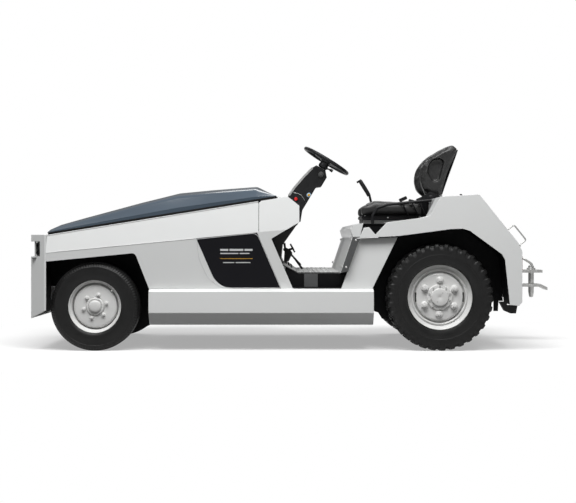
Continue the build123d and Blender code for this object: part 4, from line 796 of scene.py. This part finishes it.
def seat_trim():
    x, z = cushion_high.x, cushion_low.z
    y = back_half
    shell_line = mm([(134, 160), (152, 214), (178, 286), (228, 424), (244, 466), (250, 462), (236, 420),
                     (186, 284), (160, 210), (140, 150)], x, z)
    piece("backrest_shell", slab(shell_line, -y + 0.030, y - 0.030), black_plastic, bevel=0.0025)
    # The recliner's cover, its pivot, and the slide's knob on the seat's left
    cover = rounded(mm([(-4, 108, 6), (108, 108, 6), (108, 122), (96, 146, 16), (52, 172, 40), (8, 146, 16),
                        (-4, 122)], x, z), 5)
    cover_y, buckle_y, slide_y = -0.262, -0.252, 0.176
    parts = [slab(cover, cover_y, cover_y + 0.024)]
    parts.append(along(dome(0.016, 0.006, 24, 5), (x + 0.052, cover_y, z + 0.130), leftward))
    parts.append(along(disc(0.020, 0.020, 0.25, 28), (x - 0.044, -0.170, z + 0.030), leftward))
    piece("recliner_cover", joined(*parts), black_plastic, bevel=0.002)
    base_low, base_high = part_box("seat_base")
    rails = [brick((base_low.x + 0.004, side * slide_y - 0.006, deck_z + 0.004),
                   (base_high.x + 0.020, side * slide_y + 0.006, deck_z + 0.030)) for side in (-1, 1)]
    skirt = rounded(mm([(-410, 4, 6), (-60, 4, 6), (-30, 22, 6), (-30, 34, 4), (-420, 34, 4), (-424, 14, 6)],
                       x, deck_z + 0.028), 4)
    piece("seat_slides", joined(*rails), zinc, bevel=0.001)
    piece("seat_pan", slab(skirt, -0.205, 0.205), black_plastic, bevel=0.002)
    dots = [along(dome(0.0065, 0.0035, 16, 4), (bolt_x, -0.206, bolt_z), leftward)
            for bolt_x, bolt_z in ((x - 0.40, z + 0.004), (x - 0.24, z - 0.010), (x - 0.02, z - 0.004))]
    dots.append(along(dome(0.008, 0.004, 16, 4), (x + 0.056, cover_y, z + 0.054), leftward))
    piece("seat_bolts", joined(*dots), zinc, smooth=50)
    # Belt buckles on short stalks between the cushion and the guard rail
    for place, (start_x, height, length, tilt) in enumerate(((-0.160, 0.108, 0.056, 24),
                                                             (-0.104, 0.108, 0.040, -14),
                                                             (-0.040, 0.108, 0.056, 24))):
        block = rounded(mm([(0, 0, 5), (length * 1000, 0, 7), (length * 1000, 24, 7), (0, 24, 5)]), 4)
        turn = Matrix.Translation((x + start_x, buckle_y, z + height - 0.012)) @ Matrix.Rotation(
            math.radians(-tilt), 4, "Y")
        piece("buckle_%d" % (place + 1), moved(slab(block, -0.009, 0.009), turn), black_plastic, bevel=0.003)
    stalks = [tube(rounded_path([(x + start, buckle_y, z + 0.100), (x + start + 0.020, buckle_y, z + 0.060),
                                 (x + start + 0.050, -0.225, z + 0.002)], 0.02), 0.0055, 10)
              for start in (-0.150, -0.080, -0.030)]
    piece("buckle_stalks", joined(*stalks), black_plastic, smooth=50)


# Steering wheel: a thick round rim, three dished spokes and a boss with its cap
wheel_across = Vector((wheel_axis.z, 0, -wheel_axis.x))
wheel_turn = Matrix((wheel_across, wheel_axis, wheel_across.cross(wheel_axis))).transposed().to_4x4()
wheel_frame = Matrix.Translation(wheel_centre) @ wheel_turn


def steering_wheel():
    outer = (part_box("steering_wheel")[1].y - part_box("steering_wheel")[0].y) / 2
    tube_r = 0.013
    rim_r = outer - tube_r
    section = [(rim_r + tube_r * math.cos(a), tube_r * math.sin(a))
               for a in (2 * math.pi * k / 16 for k in range(16))]
    piece("steering_rim", moved(ring(section, 96, True), wheel_frame), black_plastic, "steering_wheel",
          smooth=60, replaces=("steering_wheel",))
    spokes = []
    for turn in (90, 210, 330):
        way = Matrix.Rotation(math.radians(turn), 4, "Y")
        low = [(0.020, -0.010), (0.070, -0.009), (0.120, -0.004), (rim_r - 0.004, 0.001)]
        outline = low + [(x, y + 0.009) for x, y in reversed(low)]
        bar = slab(outline, -0.013, 0.013)
        turned_bar = ([(x, z, y) for x, y, z in bar[0]], bar[1])
        spokes.append(moved(turned_bar, wheel_frame @ way))
    piece("steering_spokes", joined(*spokes), machined, "steering_wheel", bevel=0.003)
    boss = mm([(0, -60), (26, -60), (33, -54), (35, -40), (32, -28), (34, -16), (44, -12), (46, -4), (42, 3),
               (28, 5.5), (0, 6)])
    piece("steering_boss", moved(ring(boss, 48), wheel_frame), black_plastic, "steering_wheel", smooth=34)
    emblem = [(0.020, 0.0050), (0.021, 0.0070), (0.018, 0.0074), (0.017, 0.0056)]
    piece("steering_cap_ring", moved(ring(emblem, 40, True), wheel_frame), zinc, "steering_wheel", smooth=50)


def column_trim():
    half = column_half
    cuff = mm([(0, -102), (40, -102), (42, -92), (37, -86), (41, -80), (36, -74), (38, -68), (30, -63),
               (0, -63)])
    piece("column_cuff", moved(ring(cuff, 40), wheel_frame), machined, smooth=34)
    lead = mm([(-73, 1046), (-36, 1100), (35, 1182), (92, 1240)])
    edge = lead + [(x + 0.010, z - 0.009) for x, z in reversed(lead)]
    piece("column_edge", both_sides(slab(edge, -half - 0.0012, -half + 0.004)), zinc, bevel=0.0008)
    front = [(x - 0.0015, z + 0.0015) for x, z in lead] + [(x + 0.0015, z - 0.0015) for x,
                                                           z in reversed(lead)]
    piece("column_front", slab(front, -half - 0.001, half + 0.001), zinc, bevel=0.0006)
    seam = [(-0.036, 1.062), (-0.004, 1.056), (0.022, 1.040), (0.043, 1.006)]
    path = rounded_path([(x, -half - 0.0004, z) for x, z in seam], 0.03, 6)
    piece("column_seam", both_sides(tube(path, 0.0016, 8)), zinc, smooth=60)
    lever = rounded_path([(0.165, -half + 0.020, 1.205), (0.198, -half - 0.012, 1.232),
                          (0.222, -half - 0.030, 1.222)], 0.02)
    piece("tilt_lever", joined(tube(lever, 0.0055, 12), tube([lever[-1],
                                                              lever[-1] + Vector((0.016, -0.006, -0.010))],
                                                             [0.010, 0.011], 16)), black_plastic, smooth=50)
    clamp = along(joined(disc(0.020, 0.016, 0.3, 28), shifted(disc(0.011, 0.008, 0.3, 20), 0, 0.016, 0)),
                  (0.158, -half, 1.190), leftward)
    piece("column_clamp", clamp, machined, smooth=34)
    (stop_x, stop_z), (key_x, key_z) = (-0.020, 1.016), (0.072, 1.044)
    button = along(disc(0.0165, 0.006, 0.4, 32), (stop_x, -half, stop_z), leftward)
    piece("stop_switch_ring", button, black_plastic, smooth=34)
    red = along(disc(0.0125, 0.008, 0.5, 28), (stop_x, -half - 0.006, stop_z), leftward)
    piece("stop_switch", red, signal_red, smooth=34)
    collar = along(disc(0.016, 0.004, 0.4, 32), (key_x, -half, key_z), leftward)
    piece("key_switch_ring", collar, pale_blue, smooth=34)
    core = along(disc(0.0095, 0.006, 0.4, 28), (key_x, -half - 0.003, key_z), leftward)
    slot = slab(mm([(-1.2, -7), (1.2, -7), (1.2, 7), (-1.2, 7)], key_x, key_z), -half - 0.013, -half - 0.0085)
    piece("key_switch", joined(core, slot), amber, smooth=34)


# Headlamps: dark housings in the nose's corners, each with upright bars and two round lamps behind them
def headlamps():
    low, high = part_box("headlamps")
    outer = high.y
    bars, glints, bowls = [], [], []
    bar_pitch, bowl_pitch = 0.088, 0.092
    for place in range(3):
        y = -outer + 0.030 + bar_pitch * place
        x = low.x + 0.016 - 0.004 * place
        bars.append(brick((x, y, low.z + 0.004), (x + 0.010, y + 0.012, high.z - 0.004)))
        glints.append(brick((x + 0.004, y + 0.016, low.z + 0.006), (x + 0.007, y + 0.030, high.z - 0.006)))
    for place in range(2):
        y = -outer + bar_pitch + bowl_pitch * place
        bowl = mm([(40, 0), (42, 3), (39, 4), (36, -4), (28, -14), (14, -20), (0, -21)])
        at = (low.x + 0.026, y, (low.z + high.z) / 2)
        bowls.append(along(ring(bowl, 40), at, (-1, 0, 0)))
        bowls.append(along(dome(0.008, 0.007, 20, 5), (low.x + 0.044, y, at[2]), (-1, 0, 0)))
    piece("lamp_bars", both_sides(joined(*bars)), grey_plate, bevel=0.001)
    piece("lamp_glints", both_sides(joined(*glints)), reflector, bevel=0.0008)
    piece("lamp_bowls", both_sides(joined(*bowls)), reflector, smooth=50)
    piece("lamp_sill", both_sides(brick((low.x, -outer + 0.006, low.z - 0.0005),
                                        (high.x - 0.004, -outer + 0.262, low.z + 0.003))), lamp_black,
          bevel=0.0006)


# Black side covers: a thin white line along each cover's edge, a painted highlight, and plain marks
def side_cover_marks():
    front, rear = cover_low.x, cover_high.x
    foot = cover_low.z + 0.003
    top_rear = rear - 0.157
    line = [(rear - 0.004, foot), (top_rear - 0.001, crease_z(top_rear) - 0.004)]
    line += [(front + 0.004, crease_z(front) - 0.006)]
    sweep = [(front + 0.004, crease_z(front) - 0.010), (front + 0.016, crease_z(front) - 0.130),
             (front + 0.070, foot + 0.070), (front + 0.150, foot + 0.010), (front + 0.215, foot)]
    # The white line round the cover is a painted highlight along its edge.
    path = on_side(line, 0.0004) + on_side(sweep, 0.0004) + on_side([(rear - 0.004, foot)], 0.0004)
    smooth_path = rounded_path(path, 0.035, 5)
    piece("cover_edge_highlight", both_sides(tube(smooth_path, 0.0016, 6)), mark_and_highlight_white, smooth=60)
    # Each row of bars: its height above the floor, how tall its bars are, and where each one starts and ends
    rows = ((0.654, 0.013, (0.0, 0.052), (0.060, 0.150), (0.158, 0.210)),
            (0.634, 0.007, (0.0, 0.118), (0.126, 0.190)),
            (0.602, 0.0035, (0.0, 0.210)), (0.575, 0.006, (0.018, 0.090), (0.100, 0.196)))
    gold_row = 2
    left = front + 0.156
    white, gold = [], []
    for place, (z, tall, *bars) in enumerate(rows):
        for start, end in bars:
            corners = [(left + start, z), (left + end, z), (left + end, z + tall), (left + start, z + tall)]
            near = on_side(corners, 0.0008)
            deep = on_side(corners, -0.0004)
            verts = [tuple(point) for point in near + deep]
            faces = [(0, 1, 2, 3), (7, 6, 5, 4)] + [(k, k + 4, (k + 1) % 4 + 4,
                                                     (k + 1) % 4) for k in range(4)]
            (gold if place == gold_row else white).append((verts, faces))
    piece("cover_marks", both_sides(joined(*white)), mark_and_highlight_white, smooth=20)
    piece("cover_stripe", both_sides(joined(*gold)), amber, smooth=20)


# Panel edges: thin bright folds along the side panels, and the seam before the cowl
def panel_folds():
    front, rear = nose_rear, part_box("side_panels")[1].x
    top = [(front + 0.002, seal_top(front) - 0.018), (rear, seal_top(rear) - 0.018)]
    fold = on_side(top, 0.0006)
    crease = on_side([(front + 0.003, crease_z(front + 0.003)),
                      (cover_low.x - 0.002, crease_z(cover_low.x - 0.002))], 0.0002)
    piece("panel_folds", both_sides(joined(tube(fold, 0.0028, 8), tube(crease, 0.0016, 8))), white_paint,
          smooth=60)
    seam = on_side([(rear + 0.0045, seal_top(rear) - 0.024), (rear + 0.0045, crease_z(rear) + 0.006)], 0.0003)
    piece("cowl_seam", both_sides(tube(seam, 0.0016, 6)), trim_rubber, smooth=60)


# Driver's floor: a perforated plate, its holes drawn as raised rings round black discs of painted shade, and
# pedals with ribbed pads
def floor_dress():
    top = floor_low.z + 0.008
    front, rear = floor_low.x + 0.105, floor_high.x - 0.004
    half = floor_high.y - 0.012
    plate = brick((front, -half, top), (rear, half, top + 0.004))
    piece("floor_grating", plate, grey_plate, bevel=0.001)
    holes = []
    pitch_x, pitch_y = 0.034, 0.046
    ring_part = [(0.0, 0.0004), (0.0085, 0.0004), (0.0100, 0.0022), (0.0115, 0.0016), (0.0125, 0.0)]
    count_x = int((rear - front - 0.02) / pitch_x)
    count_y = int((2 * half - 0.02) / pitch_y)
    for i in range(count_x):
        for k in range(count_y):
            shift = pitch_y / 2 if i % 2 else 0.0
            at = (front + 0.022 + i * pitch_x, -half + 0.024 + k * pitch_y + shift, top + 0.004)
            if at[1] < half - 0.012:
                holes.append(along(ring(ring_part, 16), at, upward))
    piece("floor_rings", joined(*holes), grey_plate, smooth=50)
    # Black discs inside the rings: painted shade in place of the plate's holes.
    hole_shade_discs = [along(disc(0.0088, 0.0006, 0.2, 16), part[0][0], upward) for part in holes]
    piece("floor_hole_shade", joined(*hole_shade_discs), frame_black, smooth=30)


def pedal_dress():
    for name, y_low, y_high, foot, tip in (("brake", 0.020, 0.100, (-0.034, 0.652), (-0.062, 0.700)),
                                           ("accelerator", 0.120, 0.195, (0.014, 0.540), (-0.060, 0.610))):
        run = Vector((tip[0] - foot[0], 0, tip[1] - foot[1]))
        normal = Vector((-run.z, 0, run.x)).normalized() * -1
        ribs = []
        for step in range(6):
            at = Vector((foot[0], 0, foot[1])) + run * (0.12 + 0.15 * step) + normal * 0.0040
            ribs.append(tube([(at.x, y_low + 0.005, at.z), (at.x, y_high - 0.005, at.z)], 0.0034, 8))
        piece(name + "_ribs", joined(*ribs), trim_rubber, smooth=60)


# Seat box: a white front skin, the grey strips beside it with their bolts, and the brows' caps
def seat_box_dress():
    low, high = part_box("seat_box")
    wall = mm([(0, 2), (78, 232), (63, 287), (82, 315), (142, 328)], low.x, floor_low.z + 0.006)
    wall = [(x - 0.0008, z + 0.0006) for x, z in wall]
    skin = wall + [(x - 0.0022, z + 0.0014) for x, z in reversed(wall)]
    piece("box_front_skin", slab(skin, -high.y + 0.004, high.y - 0.004), white_paint, bevel=0.0005)
    strip = mm([(0, 4), (78, 232), (122, 226), (46, 12)], low.x, floor_low.z + 0.006)
    piece("box_strips", both_sides(slab(strip, -high.y - 0.0035, -high.y - 0.0005)), strip_grey, bevel=0.0008)
    # The brows take the darker copy of the white paint, painted shade.
    brow = mm([(78, 236), (62, 287), (82, 316), (146, 326), (124, 238)], low.x, floor_low.z + 0.006)
    piece("box_brows", both_sides(slab(brow, -high.y - 0.0040, -high.y - 0.0005)), nose_paint, bevel=0.0010)
    heads = []
    for x, z in ((low.x + 0.074, 0.728), (low.x + 0.010, 0.552)):
        heads.append(along(joined(disc(0.011, 0.003, 0.4, 20), shifted(hexagon(0.0075, 0.008), 0, 0.002, 0)),
                           (x - 0.003, -high.y + 0.022, z), (-0.95, 0, 0.3)))
        heads.append(along(dome(0.007, 0.004, 16, 4), (x + 0.024, -high.y - 0.0035, z - 0.004), leftward))
    piece("box_bolts", both_sides(joined(*heads)), zinc, smooth=40)


# Footwell: the brake pedal's bracket with its rod, the toe plate with its holes drawn as black discs of
# painted shade, and the riser's step
def footwell_dress():
    bracket = rounded(mm([(-106, 60, 8), (-70, 64, 6), (-44, 124, 6), (-62, 150, 6), (-100, 166, 10)], 0.0,
                         floor_low.z + 0.006), 4)
    parts = [slab(bracket, 0.030, 0.040), slab(bracket, 0.082, 0.092),
             tube([(-0.098, 0.024, 0.657), (-0.098, 0.098, 0.657)], 0.013, 20)]
    piece("pedal_bracket", joined(*parts), black_plastic, bevel=0.0012)
    rod = rounded_path([(-0.074, 0.165, 0.640), (-0.040, 0.165, 0.606), (0.018, 0.165, 0.543)], 0.02)
    piece("accelerator_rod", tube(rod, 0.006, 12), frame_black, smooth=60)
    x, z = floor_low.x, floor_low.z
    toe = mm([(12, 62), (28, 68), (106, 12), (104, 7)], x, z)
    half = floor_high.y - 0.012
    piece("toe_plate", slab(toe, -half, half), grey_plate, bevel=0.001)
    slope = Vector((0.078, 0, -0.056)).normalized()
    normal = Vector((0.056, 0, 0.078)).normalized()
    # Black discs in rows on the toe plate: painted shade in place of its holes.
    dots = []
    rows, holes, row_pitch, hole_pitch = 3, 26, 0.022, 0.0455
    for row in range(rows):
        for hole in range(holes):
            at = Vector((x + 0.034, -half + 0.03 + hole * hole_pitch, z + 0.0655)) + slope * (row_pitch * row)
            dots.append(along(disc(0.0082, 0.0008, 0.2, 14), at + normal * 0.0002, normal))
    piece("toe_hole_shade", joined(*dots), frame_black, smooth=30)
    riser_low, riser_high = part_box("step_risers")
    patch = mm([(125, 4), (215, 4), (215, 92), (125, 92)], riser_low.x, riser_low.z + 0.004)
    piece("step_patches", both_sides(slab(patch, -riser_high.y - 0.0022, -riser_high.y - 0.0004)), strip_grey,
          bevel=0.0008)


# Parking brake: a shaped grip over the lever, with its release and a boot at the deck
def brake_grip():
    y = (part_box("parking_brake_lever")[0].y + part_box("parking_brake_lever")[1].y) / 2
    top = [(0.4530, 1.170), (0.4600, 1.160), (0.486, 1.118), (0.512, 1.076), (0.523, 1.050)]
    radii = [0.0105, 0.0150, 0.0158, 0.0148, 0.0120]
    grip = tube([(x, y, z) for x, z in top], radii, 20)
    hook = tube(rounded_path([(0.462, y, 1.166), (0.446, y, 1.158), (0.434, y, 1.150)], 0.006), 0.0075, 14)
    boot = mm([(0, 0), (40, 0), (36, 10), (30, 14), (32, 24), (24, 30), (25, 40), (17, 48), (12, 62),
               (0, 64)])
    at = (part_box("parking_brake_lever")[1].x - 0.009, y, deck_z)
    piece("brake_grip", joined(grip, hook, along(ring(boot, 32), at, upward)), black_plastic, smooth=44)


# Tail: the hitch pin's taper and loop, the hitch's bolts, the lamps' lenses, deck caps and the handles' feet
def tail_dress():
    pin_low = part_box("hitch_pin")[0]
    pin_x = hitch_low.x + 0.214
    shaft = mm([(0, 0), (10, 0), (15, 6), (19.8, 40)], 0, pin_low.z) + mm([(19.8, 512), (30, 513.5),
                                                                           (31, 519), (29, 525), (21, 527),
                                                                           (19.5, 540), (12, 545), (0, 545)])
    pin = along(ring(shaft, 40), (pin_x, 0, 0), upward)
    loop_way = [(pin_x + 0.006, -0.018, 0.536), (pin_x + 0.002, -0.020, 0.556),
                (pin_x - 0.048, -0.020, 0.588), (pin_x - 0.062, -0.006, 0.596), (pin_x - 0.062, 0.006, 0.596),
                (pin_x - 0.048, 0.020, 0.588), (pin_x + 0.002, 0.020, 0.556), (pin_x + 0.006, 0.018, 0.536)]
    loop = tube(rounded_path(loop_way, 0.012, 4), 0.0062, 14)
    piece("pin_dressed", joined(pin, loop), zinc, "hitch_pin", smooth=40, replaces=("hitch_pin",))
    bolts = [along(joined(disc(0.013, 0.002, 0.3, 20), shifted(hexagon(0.0095, 0.010), 0, 0.001, 0)),
                   (hitch_low.x + 0.014, y, z), (1, 0, 0)) for y in (-0.068, 0.068) for z in (0.378, 0.528)]
    piece("hitch_bolts", joined(*bolts), zinc, smooth=36)
    lamp_low, lamp_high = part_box("rear_lamps")
    frames = []
    for side in (-1, 1):
        y_mid = side * (lamp_high.y - 0.050)
        for z in (lamp_low.z + 0.030, lamp_low.z + 0.070):
            frames.append(along(dome(0.016, 0.005, 28, 5), (lamp_high.x - 0.0005, y_mid, z), (1, 0, 0)))
    piece("lamp_lenses", joined(*frames), tail_red, smooth=50)
    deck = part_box("rear_panel")[1].z
    front_cap, rear_cap = (0.964, 0.40), (1.064, 0.62)
    caps = [along(dome(0.010, 0.009, 20, 5), (x, side * y, deck - 0.002), upward)
            for side in (-1, 1) for x, y in (front_cap, rear_cap)]
    caps.append(brick((0.948, -0.36, deck - 0.004), (0.978, -0.24, deck + 0.006)))
    piece("deck_caps", joined(*caps), trim_rubber, smooth=40)
    feet = [along(joined(disc(0.012, 0.003, 0.4, 20), shifted(dome(0.007, 0.003, 16, 3), 0, 0.003, 0)), spot,
                  way) for spot, way in handle_feet()]
    piece("handle_feet", both_sides(joined(*feet)), zinc, smooth=40)


def handle_feet():
    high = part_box("grab_handles")[1]
    slope = Vector((0.253, 0, -0.315)).normalized()
    away = Vector((-slope.z, 0, slope.x))
    end = Vector((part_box("rear_fenders")[1].x - 0.026, -(high.y - 0.005), deck_z - 0.128))
    return [(end + slope * along_slope + away * 0.0005, away) for along_slope in (-0.105, 0.022)]


hood_hinges()
seat_pads()
seat_trim()
steering_wheel()
column_trim()
headlamps()
side_cover_marks()
panel_folds()
floor_dress()
pedal_dress()
seat_box_dress()
footwell_dress()
brake_grip()
tail_dress()


# Stage: a pale floor that keeps the shadow and fades to white
def stage_floor():
    material = bpy.data.materials.new("floor")
    material.use_nodes = True
    add = node_adder(material.node_tree)
    rays = add("ShaderNodeLightPath", {}).outputs
    shown = add("ShaderNodeMath", {0: rays["Is Camera Ray"], 1: rays["Is Glossy Ray"]}, operation="MAXIMUM")
    seen = add("ShaderNodeBsdfDiffuse", {"Color": (0.93, 0.93, 0.93, 1)})
    bounce = add("ShaderNodeBsdfDiffuse", {"Color": (0.10, 0.10, 0.10, 1)})
    white = add("ShaderNodeEmission", {"Color": (1, 1, 1, 1)})
    where = add("ShaderNodeTexCoord", {}).outputs["Object"]
    stretch = add("ShaderNodeMapping", {"Vector": where, "Scale": (0.42, 0.62, 1)})
    length = add("ShaderNodeVectorMath", {0: stretch.outputs[0]}, operation="LENGTH").outputs["Value"]
    fade = add("ShaderNodeMapRange", {"Value": length, "From Min": 0.85, "From Max": 1.35},
               interpolation_type="SMOOTHSTEP")

    def mixed(factor, first, second):
        return add("ShaderNodeMixShader", {0: factor, 1: first.outputs[0], 2: second.outputs[0]})

    soft_shadow = mixed(0.38, seen, white)
    faded = mixed(fade.outputs[0], soft_shadow, white)
    add("ShaderNodeOutputMaterial", {"Surface": mixed(shown.outputs[0], bounce, faded).outputs[0]})
    mesh = bpy.data.meshes.new("floor")
    reach = 40.0
    corners = [(x * reach, y * reach, 0) for x, y in ((-1, -1), (1, -1), (1, 1), (-1, 1))]
    mesh.from_pydata(corners, [], [(0, 1, 2, 3)])
    floor = bpy.data.objects.new("floor", mesh)
    mesh.materials.append(material)
    bpy.context.scene.collection.objects.link(floor)


def studio_world():
    world = bpy.data.worlds.new("studio")
    bpy.context.scene.world = world
    world.use_nodes = True
    add = node_adder(world.node_tree)
    rays = add("ShaderNodeLightPath", {}).outputs
    seen = add("ShaderNodeMath", {0: rays["Is Camera Ray"], 1: rays["Is Transmission Ray"]},
               operation="MAXIMUM")
    where = add("ShaderNodeTexCoord", {}).outputs["Generated"]
    height = add("ShaderNodeSeparateXYZ", {0: where}).outputs["Z"]
    sky = add("ShaderNodeMapRange", {"Value": height, "From Min": -0.1, "From Max": 1.0, "To Min": 0.06,
                                     "To Max": 0.50})
    light = add("ShaderNodeBackground", {"Color": (1, 1, 1, 1), "Strength": sky.outputs[0]})
    white = add("ShaderNodeBackground", {"Color": (1, 1, 1, 1), "Strength": 1.0})
    mix = add("ShaderNodeMixShader", {0: seen.outputs[0], 1: light.outputs[0], 2: white.outputs[0]})
    add("ShaderNodeOutputWorld", {"Surface": mix.outputs[0]})


def softbox(name, place, target, size, power):
    data = bpy.data.lights.new(name, "AREA")
    data.shape = "RECTANGLE"
    data.size, data.size_y = size
    data.energy = power
    lamp = bpy.data.objects.new(name, data)
    bpy.context.scene.collection.objects.link(lamp)
    lamp.location = place
    aim = Vector(target) - Vector(place)
    lamp.rotation_euler = aim.to_track_quat("-Z", "Y").to_euler()


stage_floor()
studio_world()
softbox("key", place=(-0.5, -4.0, 6.5), target=(0, -0.4, 0.5), size=(7.0, 3.0), power=640)
softbox("rim", place=(1.5, 4.5, 5.0), target=(0, 0, 0.6), size=(6.0, 2.5), power=120)

# Camera: level, beside the middle of the tractor, at the height of the photo's horizon
photo_width_px, horizon_shift_px = 576, -11.5
camera_data = bpy.data.cameras.new("camera")
camera_data.lens = 69.7
camera_data.sensor_width = 36.0
camera_data.shift_y = horizon_shift_px / photo_width_px
camera = bpy.data.objects.new("camera", camera_data)
bpy.context.scene.collection.objects.link(camera)
camera.location = (-0.076, -7.975, 0.725)
camera.rotation_euler = (math.radians(90), 0, 0)
bpy.context.scene.camera = camera
bpy.context.scene.view_settings.view_transform = "Standard"
